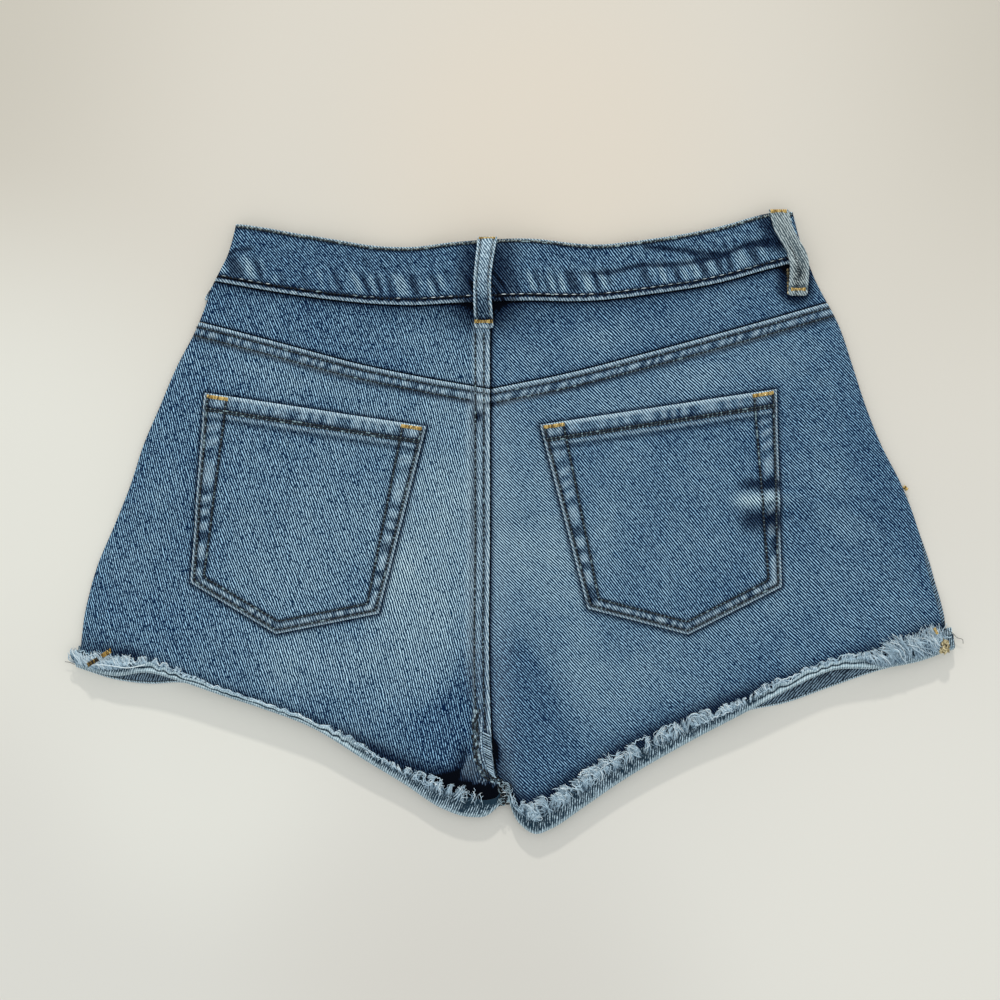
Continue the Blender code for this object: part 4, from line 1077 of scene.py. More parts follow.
def makeWaistbandBack():
    left, right = meet(waistSeam, sideLeft, -185.0), meet(waistSeam, sideRight, 183.0)
    leftTop, rightTop = meet(waistTop, sideLeft, -174.0), meet(waistTop, sideRight, 174.0)
    place = patch(
        edgeAcross(waistTop, leftTop, rightTop),
        edgeAcross(waistSeam, left, right),
        edgeDown(sideLeft, waistTop(leftTop), waistSeam(left)),
        edgeDown(sideRight, waistTop(rightTop), waistSeam(right)),
    )
    u, v = np.meshgrid(stations(band["length"], band["pitch"]), stations(band["depth"], 1.1))
    x, y = place(u, v)
    above = y - waistSeam(x)
    under = waistTop(x) - y
    pucker = ripple(x + 0.3 * above, 9.6, 2.0) * 0.6 + ripple(x + 0.5 * above, 14.0, 5.0) * 0.5
    low = ramp(3.5, 7, above) * fall(13, 23, above)
    high = ramp(1.5, 4, under) * fall(6, 13, under)
    wrinkles = np.minimum(*[awayFrom(x, y, softLine(line, 24)) for line in band["wrinkles"]])
    knotted = (
        bell(np.hypot(x - 125.5, (y - 166.0) * 1.4), 0, 4.5)
        + bell(np.hypot((x - 153.0) / 2.2, y - 173.6), 0, 2.6)
    )
    longWave = bell(wrinkles, 0, 1.5) * (ramp(24, 60, x) + 0.3 * ramp(105, 125, x)) + knotted
    height = 0.3 * pucker * low + 0.14 * ripple(x, 9.0, 8.0) * high - 0.6 * longWave
    height = height + 0.35 * bell(above, 1.3, 1.1) - 0.4 * bell(above, band["seamRow"], 0.8)
    height = height + 0.2 * bell(under, 0.7, 0.8) - 0.4 * bell(under, band["edgeRow"], 0.7)
    soft = -0.9 * (1 - quarter(fromEnds(u, v, band["length"], band["depth"]) / 2.2))
    edge = quarter(sideDistance(x, y) / lay["waistRoll"])
    outer = spatial(x, y, bandOuter(x, y) + height * edge + soft)
    reach = np.maximum(0, 1 - np.maximum(sideDistance(x, y), 0) / 7)
    inner = spatial(x + lay["band"] * reach * np.where(x < 0, 1, -1), y, bandInner(x, y))
    # painted shade on both sides of the centre loop
    loopShade = np.exp(-(((x + 17) / 18.0) ** 4)) * (1.12 - 0.3 * ramp(10, 34, above))
    loopShade *= (0.8 + 0.25 * ripple(x + 0.7 * y, 4.7, 1.0))
    # painted shade left of the right loop
    rightLoopShade = np.exp(-(((x - routeAt(loopRoutes["Right"], y) + 9) / 5.5) ** 2)) * ramp(166, 172, y)
    crease = bell(awayFrom(x, y, [(-181.0, 166.0), (-171.0, 169.5), (-164.0, 170.0)]), 0, 1.4)
    blotch = ripple(x + 1.1 * y, 11.0, 3.0) * ripple(x - 0.4 * y, 17.0, 6.0)
    mottled = ramp(10, 18, above) * ramp(2, 6, under) * (1 - unit(loopShade))
    fade = fadeMap(x, y, 0.06) - 0.07 * fall(-70, -30, x) + 0.2 * mottled * blotch
    puckered = (0.55 - 0.22 * ramp(95, 125, x)) * (1 - unit(loopShade))
    fade += puckered * low * unit(2.2 * pucker - 0.2)
    fade += 0.35 * bell(np.hypot(x + 172, (y - 158) * 1.3), 0, 9)
    fade += 0.12 * bell(np.hypot((x - 152) / 2, y - 163), 0, 8)
    ridgeTop = 1.5 + 0.45 * ripple(x, 6.1, 3.0) + 0.3 * ripple(x, 3.3, 8.0)
    rub = fall(ridgeTop - 0.3, ridgeTop + 0.5, above) * (1 - 0.6 * unit(loopShade))
    rub *= (0.72 + 0.34 * ripple(x, 3.7, 4.0))
    rub += (0.6 + 0.3 * ripple(x, 2.6, 9.0)) * fall(1.0, 1.8, under)
    # painted shade in the wrinkles, the crease and the puckers' hollows, and beside the loops; the blotches
    # are the wash's own mottle
    shade = (
        0.6 * low * unit(-2 * pucker - 0.2) + 0.75 * rightLoopShade + 0.72 * np.clip(longWave, 0, 1.1)
        + 0.6 * crease
    )
    shade += 0.45 * mottled * unit(-blotch - 0.1)
    shade = np.maximum(np.clip(shade, 0, 0.84), loopShade)
    # painted shade in the stitch grooves and under the seam's ridge
    lines = 1.1 * bell(under, band["edgeRow"] + 0.4, 0.9) + 1.0 * bell(above, band["seamRow"], 1.2)
    lines = lines + 0.8 * bell(above, ridgeTop + 0.8, 0.6)
    dark = np.maximum(shade, lines + 0.5 * unit(ripple(x, 7.3, 6.0) - 0.5) * (above < 1.4))
    uv = weaveMap(x, y, band["angle"])
    piece = wall("waistbandBack", outer, inner, uv, clothMasks(fade, rub, dark), denimBand)
    dress(piece, ["waistband_back"])


makeWaistbandBack()
print("waistband")

# back pockets

pocket = {
    "cloth": 1.2,
    "hem": 2.1,
    "hemDepth": 14.5,
    "ease": 0.7,
    "half": 75.0,
    "depth": 125.0,
    "pitch": 1.5,
    "hemRows": (9.4, 10.9),  # the two close rows under the mouth
    "edgeRow": 2.3,
    "sideRowTop": 14.4,
    "sideRowFoot": 8.0,
    "footRow": 7.4,
    "fade": {"Left": 0.3, "Right": 0.17},
    "angle": {"Left": 69.0, "Right": 51.0},
}


def pocketPlace(corners):
    topLeft, topRight, footRight, tip, footLeft = corners
    tipShare = (tip[0] - footLeft[0]) / (footRight[0] - footLeft[0])

    def bottom(t):
        first = straight(footLeft, tip)(t / tipShare)
        second = straight(tip, footRight)((t - tipShare) / (1 - tipShare))
        return [np.where(t < tipShare, first[k], second[k]) for k in (0, 1)]

    place = patch(
        straight(topLeft, topRight), bottom, straight(topLeft, footLeft), straight(topRight, footRight)
    )
    return place, tipShare


def pocketBase(place, u, v):
    x, y = place(u, v)
    ease = pocket["ease"] * np.sin(np.pi * u) * np.sin(np.pi * v)
    return x, y, backOuter(x, y) + lay["layGap"] + np.maximum(ease, 0)


def lineBetween(first, second, insetFirst, insetSecond, inward):
    # a row beside an edge, by its distances from the edge's two ends
    first, second = np.array(first, float), np.array(second, float)
    run = (second - first) / np.hypot(*(second - first))
    aside = np.array([-run[1], run[0]]) * inward
    return np.array([first + aside * insetFirst, second + aside * insetSecond])


def pocketRows(corners):
    topLeft, topRight, footRight, tip, footLeft = [np.array(c, float) for c in corners]
    e, s, f = pocket["edgeRow"], (pocket["sideRowTop"], pocket["sideRowFoot"]), pocket["footRow"]

    def crossing(one, two):
        d1, d2 = one[1] - one[0], two[1] - two[0]
        t = np.linalg.solve(np.array([d1, -d2]).T, two[0] - one[0])[0]
        return one[0] + t * d1

    rows = []
    for left, right, low, start in (((e, e), (e, e), e, 1.4), (s, s, f, 4.0)):
        sideL = lineBetween(topLeft, footLeft, *left, 1)
        footL = lineBetween(footLeft, tip, low, low, 1)
        footR = lineBetween(tip, footRight, low, low, 1)
        sideR = lineBetween(footRight, topRight, right[1], right[0], 1)
        mouth = lineBetween(topLeft, topRight, start, start, -1)
        course = [mouth, sideL, footL, footR, sideR, mouth]
        rows.append(np.array([crossing(*pair) for pair in zip(course, course[1:])]))
    for depth in pocket["hemRows"]:
        mouth = lineBetween(topLeft, topRight, depth, depth, -1)
        outerLeft = lineBetween(topLeft, footLeft, e, e, 1)
        outerRight = lineBetween(footRight, topRight, e, e, 1)
        rows.append(np.array([crossing(mouth, outerLeft), crossing(mouth, outerRight)]))
    return rows


def makePocket(side):
    corners = pockets[side]
    place, tipShare = pocketPlace(corners)
    half = stations(pocket["half"], pocket["pitch"])
    us = np.concatenate([half * tipShare, 1 - half[:-1][::-1] * (1 - tipShare)])
    vs = stations(pocket["depth"], pocket["pitch"], (pocket["hemDepth"],))
    u, v = np.meshgrid(np.unique(us), vs)
    x, y, base = pocketBase(place, u, v)
    rows = pocketRows(corners)
    topLeft, topRight, footRight, tip, footLeft = [np.array(c, float) for c in corners]
    mouth, farMouth = alongLine(x, y, [topLeft, topRight])
    sideEdges = [np.array([topLeft, footLeft]), np.array([topRight, footRight])]
    fromSide = np.minimum(*[awayFrom(x, y, line) for line in sideEdges])
    farSide = alongLine(x, y, sideEdges[0])[1]
    fromFoot, farFoot = alongLine(x, y, [footLeft, tip, footRight])
    outerRow, innerRow = [alongLine(x, y, row) for row in rows[:2]]
    hemRow = awayFrom(x, y, rows[2])
    edge = np.minimum(np.minimum(mouth, fromSide), fromFoot)
    hemmed = 1 - ramp(pocket["hemDepth"] - 0.4, pocket["hemDepth"] + 0.4, mouth)
    sideBand = mix(pocket["sideRowTop"], pocket["sideRowFoot"], unit(farSide / 120))
    inSide = ramp(1.5, 3.5, fromSide) * fall(sideBand - 3, sideBand - 0.5, fromSide) * ramp(16, 20, mouth)
    inFoot = ramp(1.5, 3.0, fromFoot) * fall(pocket["footRow"] - 2, pocket["footRow"] - 0.4, fromFoot)
    seed = 3.0 if side == "Left" else 7.0
    ropeSide = ripple(farSide + 1.5 * np.sin(x / 5), 12.5, seed)
    ropeFoot = ripple(farFoot, 6.0, seed + 2)
    ropeMouth = ripple(farMouth, 10.0, seed + 4)
    inMouth = ramp(1.5, 3, mouth) * fall(7, 9, mouth)
    below = 1 - hemmed
    valleys = bell(outerRow[0], 0, 0.8) + bell(innerRow[0], 0, 0.8) + bell(hemRow, 0, 1.0) * (mouth < 14)
    thick = mix(pocket["cloth"], pocket["hem"], hemmed)
    height = thick + 0.26 * ropeSide * inSide * below + 0.16 * ropeFoot * inFoot + 0.1 * ropeMouth * inMouth
    height = height - 0.3 * unit(valleys) + 0.25 * bell(edge, 0.9, 0.8)
    height -= 0.8 * (1 - quarter(edge / 1.6))
    outer = spatial(x, y, base + height)
    inner = spatial(x, y, base)
    fine = ripple(farSide + farFoot + farMouth, 2.7, seed)
    rub = fall(1.3, 2.1, edge) * (0.8 + 0.25 * fine) + inSide * below * np.clip(0.14 + 0.5 * ropeSide, 0, 0.5)
    rub = rub + inFoot * unit(0.38 + 0.6 * ropeFoot) + inMouth * unit(0.14 + 0.32 * ropeMouth)
    rub += 0.4 * bell(mouth, pocket["hemDepth"] - 1.2, 0.9)
    dark = inSide * below * np.clip(-ropeSide - 0.15, 0, 0.5) + 0.55 * inFoot * unit(-ropeFoot - 0.2)
    shade = bell(outerRow[0], 0, 1.15) + bell(innerRow[0], 0, 1.15) + bell(hemRow, 0, 1.5) * (mouth < 14)
    dark += 0.3 * inMouth * unit(-ropeMouth)
    # painted shade in the stitch grooves and under the hem's step
    dark = dark + 0.93 * unit(shade) + 0.45 * bell(mouth, pocket["hemDepth"] + 1.5, 1.4) * (fromSide > 1)
    fade = pocket["fade"][side] + 0.5 * foldField(washes, x, y) - 0.06 * bell(edge, 14, 10)
    if side == "Right":
        # painted highlight on the tuck, with painted shade above and below it
        bright = bell(y, 14.2 + 0.05 * (x - 150), 5.0) * ramp(130, 146, x)
        fade += 0.9 * bright
        rub = (rub + 0.1 * bright) * (1 - 0.6 * bright)
        dark += ramp(134, 148, x) * (0.8 * bell(y, 23.5, 3.4) + 0.8 * bell(y, 1.5, 6.5))
        dark = np.where(x > 136, np.minimum(dark, 0.9), dark) * (1 - 0.6 * bright)
    for corner in (topLeft, topRight):  # rubbed cloth round the tacks
        rub += 0.25 * np.exp(-((np.hypot(x - corner[0], (y - corner[1]) * 1.6) / 15.0) ** 8)) * (mouth > 3.6)
    uv = weaveMap(x, y, pocket["angle"][side])
    piece = wall(f"backPocket{side}", outer, inner, uv, clothMasks(fade, rub, dark), denim[side])
    low = side.lower()
    dress(piece, [f"back_pocket_{low}"])

    def lift(px, py):
        away = awayFrom(px, py, [topLeft, topRight])
        roomy = np.minimum(awayFrom(px, py, sideEdges[0]), awayFrom(px, py, sideEdges[1]))
        ease = (
            pocket["ease"] * np.sin(np.pi * np.clip(roomy / 140, 0, 0.5)) * np.sin(np.pi * unit(away / 125))
        )
        deep = mix(pocket["cloth"], pocket["hem"], 1 - ramp(14.1, 14.9, away))
        return backOuter(px, py) + lay["layGap"] + deep + ease * 0.9

    stitched = [stitchAlong(resample(row), lift) for row in rows]
    swells = [betweenAlong(resample(row), lift) for row in rows]
    return stitched, swells, lift


rows, swells, tacks = [], [], []
for side in pockets:
    stitched, between, lift = makePocket(side)
    rows += stitched
    swells += between
    topLeft, topRight = np.array(pockets[side][:2])
    run = (topRight - topLeft) / np.hypot(*(topRight - topLeft))
    down = np.array([run[1], -run[0]])
    for start in (topLeft + run * 2.2 + down * 2.0, topRight - run * 15.4 + down * 2.0):
        tacks.append(barTack(start, start + run * 13.2, lift, 2.3, 14))
makeStitching("pocketStitching", rows, thread["Olive"], radius=1.12, between=swells)
print("pockets")

# leg and yoke stitching


def legTop(side):
    return lambda x, y: backOuter(x, y) + legRelief(side, x, y)[0]


def seamLines():
    lines = {"Left": [], "Right": []}
    for side, start, end in (("Left", -198.5, -27.0), ("Right", -13.5, 195.5)):
        for row in panel["yokeRows"]:
            lines[side].append(lineAcross(legs[side]["yoke"], start, end, -row))
    lines["Left"][0] = np.concatenate([lines["Left"][0], [[-16.5, lines["Left"][0][-1, 1] - 1.6]]])
    for row, foot in zip(panel["centreRows"], (-129, -117)):
        y = np.linspace(118, foot, 120)
        lines["Left"].append(np.stack([centreSeam(y) - row, y], 1))
    return lines


for side, lines in seamLines().items():
    stitched = [stitchAlong(resample(line), legTop(side)) for line in lines]
    swells = [betweenAlong(resample(line), legTop(side)) for line in lines]
    makeStitching(f"seamStitching{side}", stitched, thread["Olive"], 0.0, 0.4, 0.05, between=swells)


def bandTop(x, y):
    return bandOuter(x, y) - 0.3


def bandRow(height, shift):
    left, right = meet(waistSeam, sideLeft, -185.0), meet(waistSeam, sideRight, 183.0)
    start = max(left, -186.0) + 2.5
    return lineAcross(height, start, right - 2.5, shift)


seamRow = bandRow(waistSeam, band["seamRow"])
seamStitches = stitchAlong(resample(seamRow), bandTop)
makeStitching("bandSeamStitching", [seamStitches], thread["Olive"], 0.0, 0.3, 0.05, 0.9)
seamDashes = stitchAlong(resample(seamRow) + np.array((0.0, 0.25)), bandTop, 5.4, 0.62, 0.6)
dense = mix(0.45, 0.95, ramp(-100, -50, seamDashes[:, 2, 0]))  # share of the dashes that show
seamDashes = seamDashes[dice.uniform(size=len(seamDashes)) < dense]
makeStitching("bandSeamDashes", [seamDashes], thread["Cream"], 0.3, 0.9, 0.2, 0.5)
topRow = lineAcross(waistTop, -171.0, 172.0, -band["edgeRow"])
makeStitching("bandTopStitching", [stitchAlong(resample(topRow), bandTop)], thread["Olive"], 0.0, 0.4, 0.08,
              between=[betweenAlong(resample(topRow), bandTop)])
edgeX = (
    np.linspace(-173, 172, 280)[:, None] + np.linspace(0, 1.2, 5)[None, :]
    + dice.uniform(-0.25, 0.25, (280, 1))
)
edgeY = waistTop(edgeX) - np.linspace(2.3, 0.0, 5)[None, :]
edgeTurns = spatial(edgeX, edgeY, bandTop(edgeX, edgeY) + np.array([-0.3, 0.12, 0.1, -0.15, -0.8]))
makeStitching("bandEdgeTurns", [edgeTurns], thread["Edge"], 0.1, 0.55, 0.5, 0.72)
print("seam stitching")

# belt loops

loop = {"length": 58.0, "cloth": 1.6, "arch": 1.0, "edgeRow": 1.9, "angle": 58.0}


def carrier(x, y):
    below = waistSeam(x) - y
    return mix(bandOuter(x, y), backOuter(x, y) + lay["felled"] + 0.3, ramp(1.5, 8.0, below))


def makeLoop(name, node, narrow, fadeBase, worn=0.2, back=True):
    route = loopRoutes[name]
    topY, footY = route[0][1], route[-1][1]
    length = topY - footY
    track = curve({"y": [p[1] for p in route], "x": [p[0] for p in route]}, "y", "x")

    def seat(y, share):  # height of the loop's underside
        middle = track(y)
        inward = np.where(middle > 100, middle - 6, middle)
        ends = ramp(0, 8, share * length) * ramp(0, 12, (1 - share) * length)
        return np.maximum(carrier(middle, y), carrier(inward, y)) + lay["layGap"] + loop["arch"] * ends

    u, v = np.meshgrid(stations(lay["loopWidth"], 0.8), stations(length, 0.9))
    y = mix(topY, footY, v)
    slim = 1 - narrow * np.sin(np.pi * unit(v * 1.05))
    slim = slim * (1 - 0.3 * (1 - quarter((1 - v) * length / 2.4)))
    across = mix(-1, 1, u) * lay["loopWidth"] / 2 * slim
    x = track(y) + across
    fromEdge = np.minimum(u, 1 - u) * lay["loopWidth"] * slim
    fromEnd = np.minimum(v, 1 - v) * length
    channel = bell(fromEdge, loop["edgeRow"], 0.6)
    rope = ripple(y, 5.0, 3.0 + topY) * fall(1.0, 3.0, fromEdge)
    relief = -0.45 * channel + 0.12 * rope - 0.7 * (1 - quarter(np.minimum(fromEdge, fromEnd) / 1.3))
    relief += 0.12 * bell(fromEdge, 6, 2.2)
    if back:
        base = seat(y, v)
        outer = spatial(x, y, base + loop["cloth"] + relief)
        inner = spatial(x, y, base)
    else:
        base = np.full_like(x, 0.25)
        outer = spatial(x, y, base + loop["cloth"] - 0.35)
        inner = spatial(x, y, base - relief - 0.2 * channel)
    foot = (1 - v) * length
    rub = worn + 0.95 * bell(fromEdge, 0.2, 1.1) + 0.25 * unit(rope) + 0.9 * fall(1.5, 3.0, foot)
    rub -= 0.5 * bell(foot, 11.0, 8.0) * ramp(1.5, 2.5, fromEdge)
    # painted shade in the stitch channels and beside the foot's tack, and the lower part darker
    dark = 0.6 * channel + 0.8 * bell(foot, 5.2, 1.3) + 0.45 * bell(foot, 12.0, 9.0) * ramp(1.5, 3, fromEdge)
    if name == "Right":
        twist = bell(u, 0.35 + 0.25 * np.sin(v * 3.0), 0.16) * ramp(0.15, 0.4, v) * fall(0.75, 0.9, v)
        dark = dark + 0.5 * twist - 0.6 * channel - 0.45 * bell(foot, 12.0, 9.0) * ramp(1.5, 3, fromEdge)
        dark += 0.25 * ramp(0.1, 0.5, ripple(y + 0.8 * x, 2.6, 1.0)) * bell(u, 0.3, 0.25)
    masks = clothMasks(np.full_like(x, fadeBase), rub, dark)
    cloth = denimLoop
    if name == "Centre":
        masks["rub"] = unit(masks["rub"] + 0.3 * fall(0.15, 0.6, v))
    elif name == "Right":
        masks["rub"] = 0.3 * masks["rub"]
        masks["dark"] = 0.8 * masks["dark"] - 0.05 * bell(fromEdge, 0.4, 1.2)
        cloth = loopPale
    piece = wall(f"beltLoop{name}", outer, inner, weaveMap(x, y, loop["angle"]), masks, cloth)
    dress(piece, [node])

    lift = lambda px, py: seat(py, (topY - py) / length) + loop["cloth"] - 0.4
    under = lambda px, py: np.full_like(px, 0.47)
    rows = []
    for sign in (-1, 1):
        ys = np.linspace(topY - 1.2, footY + 1.2, 60)
        share = 1 - narrow * np.sin(np.pi * unit((topY - ys) / length * 1.05))
        line = np.stack([track(ys) + sign * (lay["loopWidth"] / 2 - loop["edgeRow"]) * share, ys], 1)
        rows.append(stitchAlong(resample(line), lift if back else under, bow=0.16 if back else -0.05))
    return rows, lift, track


denimLoop = makeDenim("denimLoop", 0.62)
loopPale = makeWrongSide("loopPale", (0.008, 0.018, 0.024), (0.52, 0.59, 0.58), 0.0005)
loopStitches, lift, track = makeLoop("Centre", "belt_loop_centre", 0.1, 0.4, 0.3)
tacks.append(barTack((track(175.6) - 5.4, 175.4), (track(175.6) + 5.2, 175.6), lift, 1.2, 9))
tacks.append(barTack((track(124.6) - 5.6, 124.6), (track(124.6) + 5.8, 124.6), lift, 2.6, 12))
_, lift, track = makeLoop("Right", "belt_loop_right", 0.0, 0.4, 0.72)
ribs = []
for i in range(20):  # the twisted loop's coarse diagonals, and the chain that looks out beside it
    y = 172.0 - 1.55 * i
    x = track(y) + np.linspace(-2.6, 1.0 - 0.12 * abs(i - 10), 5) + dice.uniform(-0.6, 0.6)
    ribs.append(np.column_stack([x, y - 2.2 * np.arange(5) / 4, lift(x, np.full(5, y)) + 0.32]))
ribs = np.array(ribs)
ribs[:, ::4, 2] -= 0.3
makeStitching("loopRibs", [ribs], thread["Olive"], 0.0, 0.25, 0.0, 0.6)
beside = np.array([(track(y) - 7.0 + 0.08 * (158 - y), y) for y in np.linspace(158, 142, 12)])
loopChain = stitchAlong(beside, lambda px, py: backOuter(px, py) + 1.1, 2.0, 0.8, 0.4)
makeStitching("loopChain", [loopChain], thread["Tan"], 0.0, 0.6, 0.3, 1.6)
tacks.append(barTack((track(193.0) - 5.4, 193.2), (track(193.0) + 4.6, 193.2), lift, 2.4, 11))
tacks.append(barTack((track(144.8) - 4.4, 144.8), (track(144.8) + 4.6, 144.8), lift, 2.4, 10))
for name, node in (("Left", "left"), ("FrontLeft", "front_left"), ("FrontRight", "front_right")):
    loopStitches += makeLoop(name, f"belt_loop_{node}", 0.0, 0.0, -0.2, back=False)[0]
makeStitching("loopStitching", loopStitches, thread["Olive"], 0.35, 0.85, 0.08, 0.8)
print("belt loops")

# front, seen from below and in the open hems

front = {
    "breadth": 240.0,
    "depth": 260.0,
    "pitch": 2.6,
    "press": 0.36,  # the stitches' room under the cloth
    "mouthRows": (2.2, 8.2),
    "flyRows": (30.0, 36.5),
    "cuff": 14.0,
    "angle": {"Left": 115.0, "Right": 131.0},
}
frontCreases = {
    "x": [-60, -95, -150, -205, -240, 30, 70, 120, 185, 225, -35, 5, 150],
    "y": [-95, -60, -105, -20, -70, -100, -70, -110, -10, -60, -140, -145, 40],
    "length": [120, 90, 110, 130, 80, 110, 100, 120, 120, 90, 60, 60, 80],
    "spread": [7, 9, 10, 9, 8, 8, 9, 11, 9, 8, 5, 5, 8],
    "height": [0.45, 0.4, 0.4, 0.5, 0.4, 0.45, 0.4, 0.35, 0.5, 0.4, 0.5, 0.5, 0.3],
    "turn": [28, 40, 12, 70, 60, 150, 140, 165, 110, 118, 60, 118, 100],
}
frontWashes = {
    "x": [-130, -150, 95, 120, -30, 0],
    "y": [-20, -60, -20, -60, 60, -120],
    "length": [150, 110, 150, 110, 90, 60],
    "spread": [38, 30, 38, 30, 16, 20],
    "height": [0.34, 0.15, 0.34, 0.15, 0.1, -0.1],
    "turn": [80, 60, 98, 120, 90, 90],
}


def frontRise(x, y):
    return frontLift(x, y) + foldField(frontCreases, x, y)


def frontMasks(x, y, edge, dark=0.0):
    fade = 0.3 + foldField(frontWashes, x, y)
    return clothMasks(fade, 0.6 * bell(edge, 0.8, 1.2), dark + 0.3 * bell(edge, 3.2, 1.4))


def linerRise(x, y):
    return frontLift(x, y) + lay["cloth"] + lay["innerGap"]


def makeLiner(name, nodes, place, grid, rise, levels, dark, angle):
    # a plain layer inside the front, between two levels over the height that rise gives
    x, y = place(*np.meshgrid(*[stations(*steps) for steps in grid]))
    inner, outer = (spatial(x, y, rise(x, y) + level) for level in levels)
    masks = frontMasks(x, y, np.full_like(x, 50.0), dark)
    piece = wall(name, outer, inner, weaveMap(x, y, angle), masks, shadedInside, denimHidden)
    dress(piece, nodes)


def bareEdge(leg):  # the front's side, which looks out a little from under the back on the right
    if leg["sign"] < 0:
        return leg["side"]
    return lambda y: leg["side"](y) + 2.6 * ramp(0, 22, y + 78) * fall(0, 30, y + 30)


def mouthLine(leg):
    sign = leg["sign"]
    mouthX = float(leg["side"](lay["mouthFoot"]))
    seamSide = meet(waistSeam, leg["side"], 185.0 * sign)
    start = seamSide - sign * lay["mouthWidth"]
    reach, drop = abs(mouthX - start), waistSeam(start) - lay["mouthFoot"]

    def top(x):
        past = unit((x - start) * sign / reach)
        scoop = waistSeam(start) - lay["seamGap"] - drop * (1 - (1 - past) ** 1.6)
        return np.where(past <= 0, waistSeam(x) - lay["seamGap"], scoop)

    return top, start, mouthX, seamSide


def lineDown(x, start, end, steps=20):
    return np.stack([np.full(steps, x), np.linspace(start, end, steps)], 1)


def makeFrontPanel(side):
    leg = legs[side]
    sign = leg["sign"]
    startX = startBeside(leg)
    top, mouthStart, mouthX, _ = mouthLine(leg)
    outline = bareEdge(leg)
    foot = hemEdge(leg, "front")
    hemX = meet(foot, outline, 270.0 * sign)
    place = patch(
        edgeAcross(top, startX, mouthX),
        edgeAcross(foot, leg["crotch"], hemX),
        innerEdge(leg, top(lay["centre"]), foot(leg["crotch"])),
        edgeDown(outline, top(mouthX), foot(hemX)),
    )
    u, v = np.meshgrid(stations(front["breadth"], front["pitch"]), stations(front["depth"], front["pitch"]))
    x, y = place(u, v)
    mouth = awayFrom(x, y, lineAcross(top, mouthStart, mouthX))
    centre = centreDistance(x, y)
    rise = frontRise(x, y)
    flat = 0.25 * bell(centre, 6, 4) * (sign < 0)
    outer = spatial(x, y, rise + lay["cloth"])
    inner = spatial(x, y, rise + front["press"] - flat * 0.6)
    # painted shade along the centre seam and in the leg opening just past the front cuff
    dark = 0.5 * bell(centre, 0, 1.5) + 0.55 * bell(y - leg["front"](x), 15.5, 5)
    piece = wall(f"frontPanel{side}", outer, inner, weaveMap(x, y, front["angle"][side]),
                 frontMasks(x, y, mouth, dark), shadedInside, denimHidden)
    dress(piece, [f"front_{side.lower()}"])
    under = lambda px, py: frontRise(px, py) + front["press"] - 0.02
    rows = []
    for row in front["mouthRows"]:
        line = lineAcross(top, mouthStart - sign * 1.0, mouthX - sign * 2.0, -row)
        rows.append(stitchAlong(resample(line), under, bow=-0.05))
    if sign < 0:
        for row in (2.6, 8.8):
            y = np.linspace(8, -160, 80)
            rows.append(stitchAlong(np.stack([centreSeam(y) - row, y], 1), under, bow=-0.05))
        for reach in front["flyRows"]:
            turn = np.linspace(0, np.pi / 2, 16)
            bottom = 18 - (reach - 30) * 1.5
            straightDown = lineDown(lay["centre"] - reach, 133, bottom + reach)
            bend = np.stack([lay["centre"] - reach * np.cos(turn), bottom + reach - reach * np.sin(turn)], 1)
            rows.append(stitchAlong(resample(np.concatenate([straightDown, bend[1:-1]])), under, bow=-0.05))
    return rows


def makeFacing(side):
    leg = legs[side]
    sign = leg["sign"]
    _, mouthStart, _, seamSide = mouthLine(leg)
    inset, depth = 5.0 * sign, 26.0
    innerX, outerX = mouthStart - sign * depth, seamSide - inset
    bend = (mouthStart - sign * depth * 0.6, 60.0)
    top = lambda x: waistSeam(x) - 3 * lay["seamGap"]
    place = patch(
        edgeAcross(top, innerX, outerX),
        straight(bend, (float(leg["side"](8.0)) - inset, 8.0)),
        straight((innerX, top(innerX)), bend),
        edgeDown(leg["side"], top(outerX), 8.0, -inset),
    )
    makeLiner(
        f"pocketFacing{side}", [f"front_pocket_facing_{side.lower()}"], place, ((90.0, 2.6), (110.0, 2.6)),
        linerRise, (0.1, lay["cloth"]), 0.15, front["angle"][side],
    )


def makeFlyShield():
    top = lambda x: waistSeam(x) - 3 * lay["seamGap"]
    half, foot = lay["shieldHalf"], lay["shieldFoot"]
    left, right = lay["centre"] - half, lay["centre"] + half
    place = patch(
        edgeAcross(top, left, right),
        lambda t: (mix(left + 6, right, t), foot - 6 * t),
        straight((left, top(left)), (left + 6, foot)),
        straight((right, top(right)), (right, foot - 6)),
    )
    makeLiner("flyShield", ["fly_shield"], place, ((38.0, 2.4), (122.0, 2.6)), linerRise, (0.0, lay["cloth"]),
              0.1, front["angle"]["Left"])


def makeFrontSeam():  # the centre seam's turned edges, inside the front
    def place(u, v):
        y = mix(18.0, -160.0, v)
        return centreSeam(y) + mix(-5.5, 5.5, u), y

    rise = lambda x, y: frontRise(x, y) + lay["cloth"] + 0.12
    makeLiner("frontSeamTurns", [], place, ((11.0, 2.6), (178.0, 2.6)), rise, (0.0, 0.8), 0.2,
              front["angle"]["Left"])


def bandMiddle():  # y of the button and its hole
    return 0.5 * (waistTop(lay["centre"]) - lay["frontDrop"] + waistSeam(lay["centre"]))


